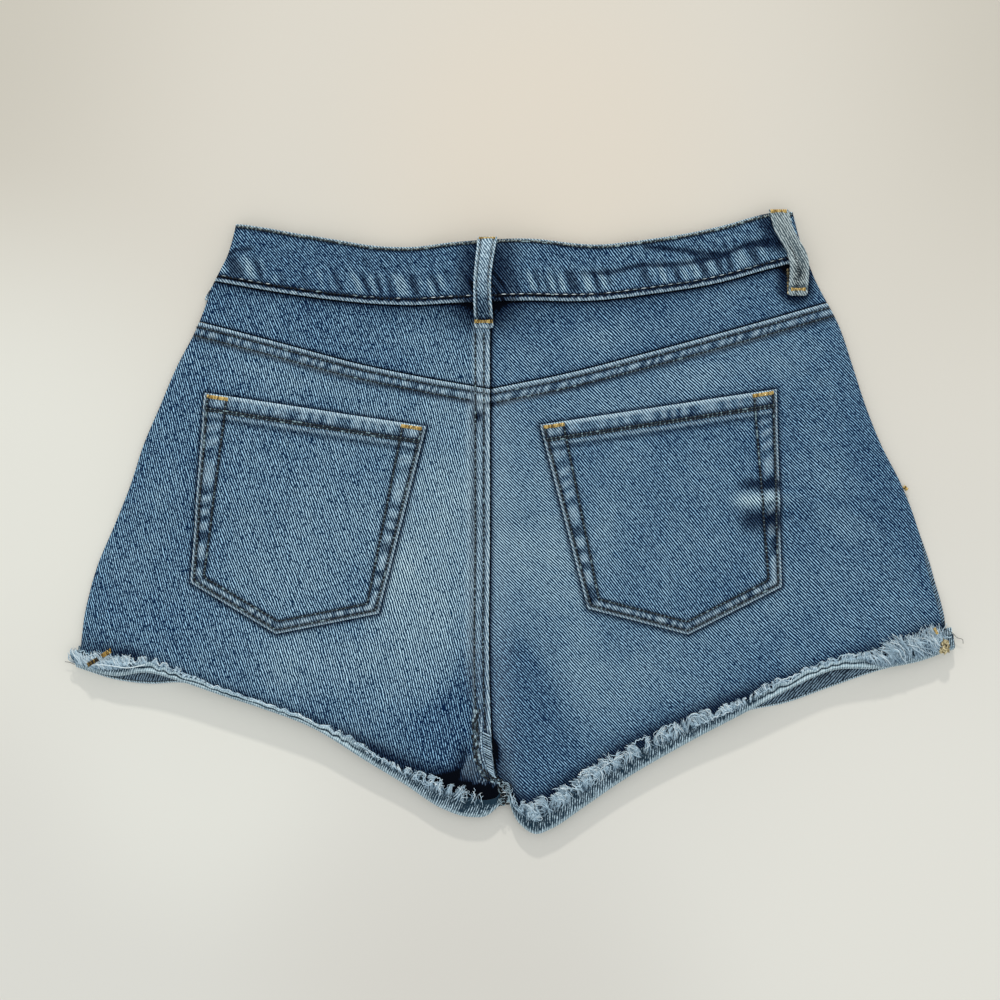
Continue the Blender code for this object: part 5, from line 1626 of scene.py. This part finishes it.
def makeWaistbandFront(side):
    leg = legs[side]
    sign = leg["sign"]
    centre = lay["centre"]
    top = lambda x: waistTop(x) - lay["frontDrop"]
    end = centre + lay["lapOuter"] if sign < 0 else centre - lay["lapInner"]
    seamX, topX = meet(waistSeam, leg["side"], 185.0 * sign), meet(top, leg["side"], 174.0 * sign)
    place = patch(
        edgeAcross(top, end, topX),
        edgeAcross(waistSeam, end, seamX),
        straight((end, top(end)), (end, waistSeam(end))),
        edgeDown(leg["side"], top(topX), waistSeam(seamX)),
    )
    length = abs(topX - end)
    u, v = np.meshgrid(stations(length, 2.0), stations(band["depth"], 1.7))
    x, y = place(u, v)
    level = lambda x, y: frontLift(x, y) + (lapLift(x) if sign > 0 else 0.0)
    rise = level(x, y)
    edge = fromEnds(u, v, length, band["depth"])
    soft = 0.5 * (1 - quarter(edge / 1.5))
    pucker = 0.12 * ripple(x, 8.5, 4.0) * ramp(2, 7, edge) * fall(9, 16, edge)
    outer = spatial(x, y, rise + lay["band"] - soft)
    inner = spatial(x, y, rise + front["press"] * 0.8 + soft + pucker)
    middle = bandMiddle()
    hole = None
    if sign < 0:
        hole = lambda p: np.hypot((p[:, 0] - centre) / 1.35, p[:, 1] - middle) < 3.1
    uv, masks = weaveMap(x, y, band["angle"]), frontMasks(x, y, edge)
    piece = wall(f"waistbandFront{side}", outer, inner, uv, masks, denimHidden, None, hole)
    dress(piece, [f"waistband_front_{side.lower()}"])
    under = lambda px, py: level(px, py) + front["press"]
    rows = []
    for height, shift in ((top, -band["edgeRow"]), (waistSeam, band["seamRow"])):
        line = lineAcross(height, min(end, topX) + 2.5, max(end, topX) - 2.5, shift)
        rows.append(stitchAlong(resample(line), under, bow=-0.04))
    if sign < 0:  # the buttonhole's worked edge
        turn = np.linspace(0, 2 * np.pi, 40)
        for angle in turn[:-1]:
            aside = np.array([np.cos(angle) * 1.35, np.sin(angle)])
            spoke = np.array([centre, middle]) + aside * np.linspace(3.3, 5.0, 5)[:, None]
            z = under(spoke[:, 0], spoke[:, 1]) + np.array([0.3, -0.08, -0.1, -0.08, 0.3])
            rows.append(np.column_stack([spoke, z])[None])
    return rows


hiddenRows = []
for side in legs:
    hiddenRows += makeFrontPanel(side)
    makeFacing(side)
    hiddenRows += makeWaistbandFront(side)
makeFlyShield()
makeFrontSeam()
makeStitching("frontStitching", hiddenRows, thread["Olive"], 0.3, 0.8, 0.1, 0.62)
print("front")

# waist button

button = {"radius": 8.5, "cap": 2.4, "shank": 2.4}


def makeMetal():
    made, tree, shader, place = newMaterial("agedBrass", 0.35, 0.5)
    patina = stretch(tree, noise(tree, place, 700.0, 4.0, 0.7), 0.35, 0.7)
    colour = blendColours(tree, patina, (0.30, 0.17, 0.07), (0.68, 0.47, 0.24))
    rough = stretch(tree, patina, 0.0, 1.0, 0.55, 0.28)
    fill(tree, shader, {"Metallic": 1.0, "Base Color": colour, "Roughness": rough})
    return made


def makeButton():
    radius, cap, shank = button["radius"], button["cap"], button["shank"]
    middle = bandMiddle()
    shankTop = lay["buttonLift"] + lay["band"] - 0.1
    profile = np.array([
        (0.0, shankTop), (shank - 0.4, shankTop), (shank, shankTop - 0.3), (shank, cap + 0.3),
        (shank + 0.4, cap), (radius - 0.9, cap), (radius - 0.3, cap - 0.2), (radius, cap - 0.7),
        (radius, 0.9), (radius - 0.35, 0.35), (radius - 1.1, 0.05), (radius - 2.0, 0.05), (radius - 2.4, 0.2),
        (radius - 2.7, 0.55), (radius - 3.1, 0.6), (radius - 3.4, 0.4), (radius - 3.9, 0.35),
        (radius - 4.4, 0.5), (1.6, 0.5), (1.2, 0.25), (0.0, 0.2),
    ])
    turns = 64
    angle = np.arange(turns) * 2 * np.pi / turns
    rings = np.zeros((turns, len(profile), 3))
    rings[..., 0] = lay["centre"] + profile[None, :, 0] * np.cos(angle)[:, None]
    rings[..., 1] = middle + profile[None, :, 0] * np.sin(angle)[:, None]
    rings[..., 2] = profile[None, :, 1]
    ends = np.array([[lay["centre"], middle, shankTop], [lay["centre"], middle, 0.2]])
    verts = np.concatenate([rings[:, 1:-1].reshape(-1, 3), ends])
    count = len(profile) - 2
    index = np.arange(turns * count).reshape(turns, count)
    after = np.roll(index, -1, 0)
    quads = np.stack([index[:, :-1], index[:, 1:], after[:, 1:], after[:, :-1]], -1).reshape(-1, 4).tolist()
    caps = [[turns * count, index[i, 0], after[i, 0]] for i in range(turns)]
    caps += [[turns * count + 1, after[i, -1], index[i, -1]] for i in range(turns)]
    piece = keepMesh("waistButton", verts, quads + [list(map(int, cap)) for cap in caps], makeMetal())
    dress(piece, ["waist_button"])


makeButton()
print("button")

# turned-up hems

hem = {
    "pitch": 1.15,
    "lip": 1.5,
    "cloth": 1.2,
    "least": 3.2,
    "share": 0.6,  # of the breadth, where the rest is fray
    "rolledShare": 0.96,  # where the hem is narrow and rolled
    "angle": {"Left": 112.0, "Right": 94.0},
}


def hemFrame(leg, x, edge):
    slope = (leg[edge](x + 3) - leg[edge](x - 3)) / 6 * ramp(0, 22, np.abs(x - leg["crotch"]))
    run = np.hypot(1, slope)
    breadth = leg["raw"](x) - leg["fold"](x) if edge == "fold" else np.full_like(x, 24.0)
    return leg[edge](x), -slope / run * 0.55, 1 - 0.55 * (1 - 1 / run), breadth


def hemBand(leg, x, breadth):  # breadth of the turned-up cloth
    rolled = 1 - ramp(6.5, 12, breadth)
    share = mix(hem["share"], hem["rolledShare"], rolled)
    wavy = 1 + 0.22 * rolled * ripple(x, 9.5, 2.0 + leg["sign"])
    return np.maximum(hem["least"], share * breadth) * wavy, rolled


def ringLoft(name, sections, uv, masks, material):
    rows, count = sections.shape[:2]
    index = np.arange(rows * count).reshape(rows, count)
    near, far = index[:-1], index[1:]
    quads = np.stack([near, np.roll(near, -1, 1), np.roll(far, -1, 1), far], -1).reshape(-1, 4)
    verts = sections.reshape(-1, 3)
    a, b, c = (verts[quads[:, k]] for k in (0, 1, 2))
    turned = np.einsum("ij,ij->i", a, np.cross(b, c)).sum() < 0
    if turned:
        quads = quads[:, ::-1]
    caps = [index[0].tolist(), index[-1][::-1].tolist()]
    if not turned:
        caps = [cap[::-1] for cap in caps]
    return keepMesh(name, verts, quads.tolist() + caps, material, uv.reshape(-1, 2), masks)


def makeBackCuff(side):
    leg = legs[side]
    length = abs(leg["corner"] - leg["crotch"])
    share = stations(length, hem["pitch"])
    x = mix(leg["crotch"], leg["corner"], share)[:, None]
    foldY, stepX, stepY, breadth = hemFrame(leg, x, "fold")
    bandWide, rolled = hemBand(leg, x, breadth)
    lip = hem["lip"]

    def at(s):
        return x + stepX * s, foldY + stepY * s

    edgeX, edgeY = at(lip + lay["seamGap"])
    foot = backInner(edgeX, edgeY)
    crown = backOuter(edgeX, edgeY) + lay["layGap"] + hem["cloth"]
    bend = np.linspace(0, np.pi / 2, 9)[None, :]
    roundS = lip * (1 - np.cos(bend)) + 0 * x
    roundZ = foot + (crown - foot) * np.sin(bend) ** 0.8
    t = np.linspace(0, 1, 25)[None, 1:]
    t = t - 0.06 * np.sin(2 * np.pi * t)
    overS = lip + (bandWide - lip) * t
    overX, overY = at(overS)
    along = np.hypot(np.gradient(x[:, 0]), np.gradient(foldY[:, 0])).cumsum()[:, None] + 0 * overS
    top = mix(crown, backOuter(overX, overY) + lay["layGap"] + hem["cloth"], ramp(lip, 4.0, overS))
    toRaw = bandWide - overS
    rolls = bell(overS, 1.5, 1.1) + bell(toRaw, 1.0, 1.0)
    valley = bell(overS, 0.5 * (bandWide + 0.8), 0.55)
    wave = ripple(along + 0.5 * overS, 9.0, 5.0 + leg["sign"]) * ramp(1.5, 4.0, overS)
    plain = 0.5 * bell(overS, 2.2, 2.2) + 0.45 * wave + 0.25 * ripple(along, 21.0, 2.0) * ramp(1, 5, overS)
    relief = mix(plain, 0.65 * rolls - 0.75 * valley + 0.25 * wave, rolled)
    relief -= 0.5 * (1 - quarter(toRaw / 0.9)) * (1 - 0.3 * rolled)
    overZ = top + relief
    ends = np.minimum(share, 1 - share)[:, None] * length
    overZ = overZ - 0.5 * (1 - quarter(ends / 2.5))
    roundX, roundY = at(roundS)
    backS = np.concatenate([bandWide, mix(lip, bandWide, 0.5), np.full_like(x, lip - 0.3)], 1)
    backX, backY = at(backS)
    rest = backOuter(backX, backY) + lay["layGap"]
    rest[:, 2] = (backOuter(edgeX, edgeY) + lay["layGap"])[:, 0]
    footX, footY = at(np.full_like(x, lip - 0.3))
    allX = np.concatenate([roundX, overX, backX, footX], 1)
    allY = np.concatenate([roundY, overY, backY, footY], 1)
    allZ = np.concatenate([roundZ, overZ, rest, foot], 1)
    deepPart = overS / bandWide
    tufts = 0.55 + 0.45 * ripple(along + 0.4 * overS, 3.9, 7.0)
    # painted shade: in the valley between the rolls, under the waves and the fray's locks, by the raw edge,
    # and in the crotch's gap and hollow; also darker towards the left leg's end
    cuffShade = rolled * 0.9 * valley
    cuffShade += (1 - rolled) * (0.35 * unit(-wave) + 0.6 * tufts * bell(deepPart, 0.88, 0.22))
    if side == "Right":
        cuffShade = cuffShade - 0.5 * rolled * valley + 0.16 * fall(4, 34, overX)
    cuffShade += 0.15 * rolled * bell(toRaw, 0.0, 0.4)
    if side == "Left":
        cuffShade -= rolled * valley * (0.35 + 0.3 * ripple(along, 27.0, 3.0))
        cuffShade += 0.75 * crotchShade(overX, overY) * ramp(-178.0, -170.0, overY)
        cuffShade += 0.12 * fall(-262, -235, overX) * ramp(1.5, 5, overS)
    rub = 0.7 * bell(overS, 1.2, 1.4) + 0.9 * rolled * (1 - valley) - cuffShade

    def full(middle, before, after):  # a mask with even values before and after the part that shows
        return np.concatenate([before + 0 * roundS, middle, after + 0 * backS, 0 * x], 1)

    masks = {"dark": full(cuffShade + 0.17, 0.1, 0.4), "rub": unit(full(rub, 0.55, 0.0))}
    uv = weaveMap(allX, allY, hem["angle"][side])
    piece = ringLoft(f"backCuff{side}", spatial(allX, allY, allZ), uv, masks, wrongSide)
    dress(piece, [f"cuff_back_{side.lower()}"])


def makeFrontCuff(side):
    leg = legs[side]
    length = abs(leg["corner"] - leg["crotch"])
    share = stations(length, 1.8)
    x = mix(leg["crotch"], leg["corner"], share)[:, None]
    foldY, stepX, stepY, _ = hemFrame(leg, x, "front")
    crown = 2 * lay["cloth"] + lay["seamGap"]
    wave = 0.35 * ripple(x, 17.0, 6.0)
    turn = np.linspace(0, np.pi, 13)[None, :]
    ones = np.ones_like(x)
    raw = front["cuff"] + wave * 2
    s = np.concatenate([1.2 * (1 - np.sin(turn)) * ones, raw, raw, 1.2 * ones], 1)
    bent = (0.05 + crown / 2 * (1 + np.cos(turn))) * ones
    z = np.concatenate([bent, 0.05 * ones, lay["cloth"] * ones, lay["cloth"] * ones], 1)
    sections = spatial(x + stepX * s, foldY + stepY * s, z)
    masks = {"dark": np.full_like(s, -0.1), "rub": 0.45 * bell(s, 0.0, 1.0)}
    uv = weaveMap(sections[..., 0], sections[..., 1], 180 - hem["angle"][side])
    piece = ringLoft(f"frontCuff{side}", sections, uv, masks, wrongSide)
    dress(piece, [f"cuff_front_{side.lower()}"])


for side in legs:
    makeBackCuff(side)
    makeFrontCuff(side)
print("cuffs")

# frayed edges

fray = {
    "Left": {
        "x": [-274, -262, -250, -232, -212, -195, -160, -110, -80, -62, -48, -34, -22, -12, -9],
        "length": [8.5, 9, 8, 5, 3, 1.4, 1.1, 1.3, 2.6, 6.5, 8.2, 8.0, 6.5, 4.6, 4],
        "curl": [0.8, 0.9, 0.9, 0.7, 0.5, 0.4, 0.4, 0.6, 0.9, 1.0, 1.0, 0.95, 0.9, 0.8, 0.8],
        "thicker": [(-273, -240, 22)],  # from, to, and how many more locks
    },
    "Right": {
        "x": [-4.4, 2, 12, 28, 53, 84, 115, 146, 177, 200, 215, 239, 255, 268, 274],
        "length": [6, 7.5, 8.5, 9.5, 9.5, 9, 7.5, 5, 2.2, 2.4, 5, 8.5, 10, 9.5, 8],
        "curl": [1.3, 1.3, 1.2, 1.1, 1.0, 0.9, 0.9, 0.8, 0.6, 0.6, 0.8, 0.9, 0.9, 1.0, 1.0],
        "thicker": [(205, 272, 28), (2, 140, 24)],
    },
    "locksEach": 96,
    "threadsEach": 11,
    "radius": (0.22, 0.34),
    "points": 12,
    "runners": 26,
    "frontThreads": 700,
    "frontReach": (3.0, 7.0),
    "frontRadius": 0.22,
    "endsAt": -36.0,  # on the left leg, beside the crotch's hollow
}


def threadLevel(x, y, past, overLeg, overCuff):  # past: how far beyond the cuff's raw edge
    return backOuter(x, y) + mix(overLeg, lay["layGap"] + hem["cloth"] + overCuff, fall(-0.4, 1.3, past))


def makeBackFray(side):
    leg = legs[side]
    table = fray[side]
    locks, each, points = fray["locksEach"], fray["threadsEach"], fray["points"]
    places = np.linspace(leg["crotch"] + 1.0 * leg["sign"], leg["corner"] - 2.0 * leg["sign"], locks)
    places = places + dice.uniform(-0.9, 0.9, locks)
    for low, high, extra in table["thicker"]:
        places = np.concatenate([places, dice.uniform(low, high, extra)])
    locks = len(places)
    half = dice.uniform(0.9, 1.9, locks)
    spot = np.tile(np.linspace(-1, 1, each), locks)

    def lockWise(values, spread):
        return np.repeat(values, each) + dice.normal(0, spread, locks * each)

    x = lockWise(places, 0.12) + spot * np.repeat(half, each)
    x = np.clip(x, min(leg["crotch"], leg["corner"]) + 0.6, max(leg["crotch"], leg["corner"]) - 0.6)
    foldY, stepX, stepY, breadth = hemFrame(leg, x, "fold")
    bandWide, rolled = hemBand(leg, x, breadth)
    curl = (np.interp(x, table["x"], table["curl"]) * (1 - 0.3 * ramp(190, 225, np.abs(x))))[:, None]
    reach = np.interp(x, table["x"], table["length"]) * lockWise(dice.uniform(0.75, 1.3, locks), 0.08)
    ends = np.maximum(ramp(205, 232, x), 1 - ramp(-266, -240, x))
    rootS = bandWide * mix(dice.uniform(0.55, 0.96, len(x)) * (1 - 0.8 * ends), 0.95, rolled)
    reach = reach * (1 + 0.65 * ramp(212, 240, x) * (1 - rolled))
    t = np.linspace(0, 1, points)[None, :]
    lean = lockWise(dice.normal(0, 0.28, locks), 0.05)[:, None]
    lean = lean - 0.35 * ramp(205, 232, x)[:, None] - 0.6 * fall(-255, -225, x)[:, None]
    lean -= (spot * np.repeat(dice.uniform(-0.1, 0.4, locks), each))[:, None]
    phase = lockWise(dice.uniform(0, 2 * np.pi, locks), 0.2)[:, None]
    turns = np.repeat(dice.uniform(0.5, 1.1, locks), each)[:, None]
    hook = lockWise(dice.choice([-1.0, 1.0], locks) * dice.uniform(0.1, 1.0, locks), 0.15)[:, None]
    wild = (dice.uniform(size=len(x)) < 0.07)[:, None]  # a few threads curl on their own
    phase = np.where(wild, dice.uniform(0, 6.3, phase.shape), phase)
    sway = np.where(wild, 1.2, 0.4)
    heading = lean + sway * curl * np.sin(2 * np.pi * turns * t + phase) + hook * curl * ramp(0.45, 1.0, t)
    stepLong = (reach * 1.25 / (points - 1))[:, None]
    ways = (-np.sin(heading), np.cos(heading))
    start = np.zeros((len(x), 1))
    across, far = (np.concatenate([start, np.cumsum(way[:, 1:] * stepLong, 1)], 1) for way in ways)
    room = (bandWide - rootS + 0.75 * reach)[:, None]
    far = room * np.tanh(far / room)
    lineX = (x + stepX * rootS)[:, None] + stepX[:, None] * far - stepY[:, None] * across
    lineY = (foldY + stepY * rootS)[:, None] + stepY[:, None] * far + stepX[:, None] * across
    s = rootS[:, None] + far
    deep = np.abs(dice.normal(0, 0.5, (len(x), 1)))
    pile = deep * (0.35 + t) + 0.4 * np.sin(np.pi * t) * dice.uniform(0, 1, (len(x), 1))
    lineZ = threadLevel(lineX, lineY, s - bandWide[:, None], 0.3, 0.25)
    lineZ += pile * ramp(0.5, 4, reach)[:, None]
    lineZ[:, 0] -= 0.35
    lines = spatial(lineX, lineY, lineZ)
    thick = dice.uniform(*fray["radius"], (len(x), 1)) * (1 - 0.4 * t**3)
    # the threads' own uneven tone, paler towards the tips, with painted light on threads that lie higher and
    # painted shade at each lock's sides
    tone = (
        dice.normal(0.56, 0.13, (len(x), 1)) + 0.4 * (deep - 0.4) + 0.45 * (t - 0.55)
        - 0.3 * np.abs(spot)[:, None] ** 3
    )
    tone = unit(tone - 0.1 * ramp(205, 235, x)[:, None])
    if side == "Left":  # the crotch's hollow shows between fewer threads
        keep = (x < fray["endsAt"]) | ((x < -20) & (dice.uniform(size=len(x)) < 0.3))
        lines, thick, tone = lines[keep], thick[keep], tone[keep]
    runners, runTone = makeRunners(side)
    piece = tubePiece(f"backFray{side}", lines, thick, 3, thread["Pale"], tone)
    dress(piece, [f"fray_back_{side.lower()}"])
    strands = tubePiece(f"hemStrands{side}", runners, fray["radius"][1] * 0.9, 4, thread["Pale"], runTone)
    dress(strands, [])


def makeRunners(side):  # cross threads that lie along the raw edge
    leg = legs[side]
    table = fray[side]
    count, points = fray["runners"], 26
    start = mix(fray["endsAt"] - 12 if side == "Left" else leg["crotch"] + 8, leg["corner"],
                dice.uniform(0, 1, count))
    span = dice.uniform(5, 14, count) * dice.choice([-1.0, 1.0], count)
    t = np.linspace(0, 1, points)[None, :]
    x = start[:, None] + span[:, None] * t
    x = np.clip(x, min(leg["crotch"], leg["corner"]) + 1.5, max(leg["crotch"], leg["corner"]) - 1.5)
    x = x + 0.004 * np.arange(points)[None, :]
    foldY, stepX, stepY, breadth = hemFrame(leg, x, "fold")
    bandWide, _ = hemBand(leg, x, breadth)
    reach = np.interp(x, table["x"], table["length"])
    place = dice.uniform(-0.25, 0.75, (count, 1))
    s = (
        bandWide + place * reach + 0.35 * np.sin(t * 9 + 6 * place)
        + 0.5 * np.sin(t * 23 + 40 * place) * ramp(1, 4, reach)
    )
    lineX, lineY = x + stepX * s, foldY + stepY * s
    lineZ = threadLevel(lineX, lineY, s - bandWide, 0.35, 0.3)
    lineZ += 0.5 * ramp(0.5, 4, reach) * (1 + np.sin(t * 14 + 9 * place))
    return spatial(lineX, lineY, lineZ), unit(dice.normal(0.6, 0.25, count))


crotch = {
    "chain": [(-25.2, -116.5), (-25.9, -132.0), (-25.0, -146.0), (-21.6, -155.5), (-15.6, -160.4),
              (-10.4, -161.4)],
    "chainShifts": ((0.0, 0.0), (2.7, 1.0), (1.4, -0.4)),
    "chainTones": [0.0, 0.0, 0.1, 0.6, 1.0],
    "ridge": [(-20.6, -121.0), (-21.0, -138.0), (-19.2, -149.0), (-15.0, -156.0), (-9.8, -160.6)],
    "gathersFrom": -131.0,
    "gathersTo": -156.5,
    "gatherPitch": 1.5,
    "gatherArch": (-0.2, 0.15, 0.3, 0.35, 0.3, 0.1, -0.3),
    "threads": 60,
    "gap": ((-12, -2.5), (-177, -158)),  # x and y between which the legs' gap is closed
}


def makeCrotchSeam():  # the coarse chain at the seam's foot, with the gathers and the pale ridge beside it
    lift = legTop("Left")
    radius = np.array(threads["radius"])
    path = softLine(crotch["chain"], 60)
    rows = [stitchAlong(path + np.array(shift), lift, 2.5, 0.85, 0.3) for shift in crotch["chainShifts"]]
    rows = [row + dice.uniform(-0.55, 0.55, (len(row), 1, 3)) * (1, 1, 0.4) for row in rows]
    tone = dice.choice(crotch["chainTones"], sum(map(len, rows)))
    chain = tubePiece("crotchChain", np.concatenate(rows), radius * 1.45, 6, thread["Chain"], tone)
    dress(chain, [])
    ribs = []
    for y in np.arange(crotch["gathersFrom"], crotch["gathersTo"], -crotch["gatherPitch"]):
        x = centreSeam(y) - np.linspace(5.6, 0.6, 7) * (1 - 0.25 * ramp(-140, -156, y))
        ys = y - np.linspace(0, 2.3, 7) + 0.25 * np.sin(y)
        ribs.append(np.column_stack([x, ys, lift(x, ys) + np.array(crotch["gatherArch"])]))
    tone = dice.uniform(0.15, 0.45, len(ribs))
    dress(tubePiece("crotchGathers", np.array(ribs), 0.4, 6, thread["Pale"], tone), [])
    beads = stitchAlong(softLine(crotch["ridge"], 60), lift, 1.9, 0.9, 0.15)
    tone = dice.uniform(0.2, 0.6, (2, len(beads)))[1]
    dress(tubePiece("crotchRidge", beads, radius, 6, thread["Pale"], tone), [])


def makeCrotchFray():  # short threads that close the gap between the legs: a few pale ones, the rest near black as painted shade in the gap
    count, points = crotch["threads"], 9
    t = np.linspace(0, 1, points)[None, :]
    y = dice.uniform(-176, -160, (count, 1))
    x = mix(-10.5, -4.5, dice.uniform(size=(count, 1)))
    heading = dice.uniform(0, 6.3, (count, 1)) + dice.uniform(-3, 3, (count, 1)) * t
    step = dice.uniform(0.35, 0.7, (count, 1))
    lineX = np.clip(x + np.cumsum(np.cos(heading) * step, 1), *crotch["gap"][0])
    lineY = np.clip(y + np.cumsum(np.sin(heading) * step, 1), *crotch["gap"][1])
    pale = dice.uniform(size=(count, 1)) < 0.2
    lineZ = (
        backOuter(lineX, lineY) + np.where(pale, 2.2, dice.uniform(-1.6, 1.2, (count, 1)))
        + 0.4 * np.sin(5 * t)
    )
    # painted shade: all but the pale threads are near black
    tone = np.where(pale, dice.uniform(0.6, 1.0, (count, 1)), 0.0)[:, 0]
    thick = np.where(pale, 0.3, 0.55) * (1 - 0.4 * t**3)
    piece = tubePiece("crotchThreads", spatial(lineX, lineY, lineZ), thick, 4, thread["Chain"], tone)
    dress(piece, [])


def makeFrontFray(side):
    leg = legs[side]
    count, points = fray["frontThreads"], 5
    x = mix(leg["crotch"] + 18 * leg["sign"], leg["corner"] - 3 * leg["sign"], dice.uniform(size=count))
    foldY, stepX, stepY, _ = hemFrame(leg, x, "front")
    t = np.linspace(0, 1, points)[None, :]
    reach = dice.uniform(*fray["frontReach"], count)[:, None]
    lean = dice.normal(0, 0.3, count)[:, None] * reach * t + 0.5 * np.sin(5 * t + x[:, None])
    s = front["cuff"] - 1.0 + reach * t
    lines = np.stack([
        x[:, None] + stepX[:, None] * s + lean,
        foldY[:, None] + stepY[:, None] * s,
        dice.uniform(0.3, 0.7, count)[:, None] + 0.2 * np.sin(3 * t),
    ], -1)
    tone = unit(dice.normal(0.5, 0.24, count))
    piece = tubePiece(f"frontFray{side}", lines, fray["frontRadius"] * (1 - 0.4 * t), 3, thread["Pale"], tone)
    dress(piece, [f"fray_front_{side.lower()}"])


for side in legs:
    makeBackFray(side)
    makeFrontFray(side)
makeCrotchFray()
makeCrotchSeam()
print("frayed edges")

# loose threads, knots and bar tacks


def cuffTop(x, y):
    return backOuter(x, y) + lay["layGap"] + hem["cloth"] + 0.4


looseThreads = {  # plan points, radius, tone and thread
    "longPale": ([(-273.0, -88.0), (-266, -88.6), (-257.3, -88.4), (-248, -89.4), (-241.8, -90.2),
                  (-229.4, -88.2)], 0.3, 1.0, "Pale"),
    "darkLeft": ([(-272.0, -88.8), (-275.3, -88.8), (-278.5, -87.6), (-281.5, -87.2)],
                 0.16, 0.0, "Olive"),
    "rightEnd": ([(270.4, -67.6), (273.6, -69.2), (276.8, -72.2), (280.0, -73.4), (280.4, -75.9)],
                 0.16, 0.1, "Olive"),
}
knot = {"middle": (267.2, -77.4), "spread": (3.2, 4.6), "strands": 90, "level": (266.0, -77.0)}


def makeLooseThreads():
    for name, (points, radius, tone, kind) in looseThreads.items():
        plan = np.array(points, float)
        inside = np.minimum(np.maximum(sideDistance(plan[:, 0], plan[:, 1]), 0), 6) / 6
        height = mix(2.2, cuffTop(plan[:, 0], plan[:, 1]) + 0.9, ramp(0, 0.3, inside))
        line = softLine(np.column_stack([plan, height]))
        piece = tubePiece(f"looseThread_{name}", line[None], radius, 5, thread[kind], np.array([tone]))
        dress(piece, [])


makeLooseThreads()
hemTop = lambda x, y: cuffTop(x, y) + 1.3
hemTacks = [
    barTack((-265.5, -88.6), (-258.8, -84.6), hemTop, 2.6, 7),
    barTack((-256.4, -83.0), (-250.4, -79.2), hemTop, 2.8, 6),
]
makeStitching("hemTacks", hemTacks, thread["Gold"], -0.2, 0.7, 0.1, 1.0)


def makeKnot():
    lines = []
    t = np.linspace(-1, 1, 5)
    level = cuffTop(*[np.full(5, part) for part in knot["level"]])
    for _ in range(knot["strands"]):
        angle, far = dice.uniform(0, 2 * np.pi), np.sqrt(dice.uniform())
        ways = (np.cos(angle), np.sin(angle))
        middle = [knot["middle"][k] + knot["spread"][k] * far * ways[k] for k in (0, 1)]
        turn, reach = dice.uniform(0, np.pi), dice.uniform(0.7, 1.5)
        bow = dice.uniform(-0.7, 0.7)
        x = middle[0] + t * reach * np.cos(turn) - bow * (1 - t**2) * np.sin(turn)
        y = middle[1] + t * reach * np.sin(turn) + bow * (1 - t**2) * np.cos(turn)
        top = 1.5 * np.sqrt(max(0.0, 1 - 0.8 * far**2))
        lines.append(spatial(x, y, level + dice.uniform(0.3, 1.0) * top - 0.5 * t**2))
    return np.array(lines)


makeStitching("hemKnot", [makeKnot()], thread["Tan"], 0.1, 1.0, 0.25, 1.05)
tacks.append(barTack((260.6, -65.6), (262.8, -69.6), lambda x, y: cuffTop(x, y) + 0.6, 1.6, 4))


tacks.append(barTack((243.3, 22.4), (245.6, 20.2), lambda x, y: backOuter(x, y) + 0.2, 2.2, 4))
makeStitching("barTacks", tacks, thread["Gold"], 0.0, 1.0, 0.2, 0.8)
print("bar tacks and loose threads")

# floor

paintedFloorLight = [  # painted pools of light and shade on the floor: middle and reach in metres, colour
    ((-0.33, 0.02), 0.22, (0.810, 0.785, 0.705)),
    ((0.02, 0.23), 0.17, (0.765, 0.675, 0.562)),
    ((-0.2, -0.15), 0.14, (0.810, 0.785, 0.710)),
    ((0.26, -0.24), 0.26, (0.805, 0.770, 0.695)),
    ((-0.03, -0.33), 0.2, (0.690, 0.650, 0.585)),
]


def makeFloor():
    mesh = bpy.data.meshes.new("floor")
    size = 6.0
    corners = [(-size, -size, 0), (size, -size, 0), (size, size, 0), (-size, size, 0)]
    mesh.from_pydata(corners, [], [(0, 1, 2, 3)])
    made, tree, shader, place = newMaterial("paleFloor", 0.75)
    reachFrom = lambda spot: put(
        tree, "ShaderNodeVectorMath", {0: place, 1: (*spot, 0.0)}, operation="DISTANCE").outputs["Value"]
    far = put(tree, "ShaderNodeSeparateXYZ", {0: place}).outputs[1]
    # painted light falloff across the floor, from the hems to the waist
    colour = blendColours(tree, stretch(tree, far, -0.25, 0.33), view["floorPaintedNear"], view["floorPaintedFar"])
    # painted shade: darker floor corners on either side of the waist
    apart = stretch(tree, reachFrom((0.0, 0.24)), 0.14, 0.36)
    corner = calc(tree, "MULTIPLY", apart, stretch(tree, far, 0.05, 0.3))
    colour = blendColours(tree, calc(tree, "MULTIPLY", corner, 0.75), colour, view["floorPaintedCorner"])
    # painted pools of light and shade
    for middle, reach, paintedTone in paintedFloorLight:
        share = stretch(tree, reachFrom(middle), 0.2 * reach, reach, 0.8, 0.0)
        colour = blendColours(tree, share, colour, paintedTone)
    fill(tree, shader, {"Base Color": colour})
    mesh.materials.append(made)
    floor = bpy.data.objects.new("floor", mesh)
    bpy.context.scene.collection.objects.link(floor)
    floor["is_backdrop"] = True


makeFloor()
low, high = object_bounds()
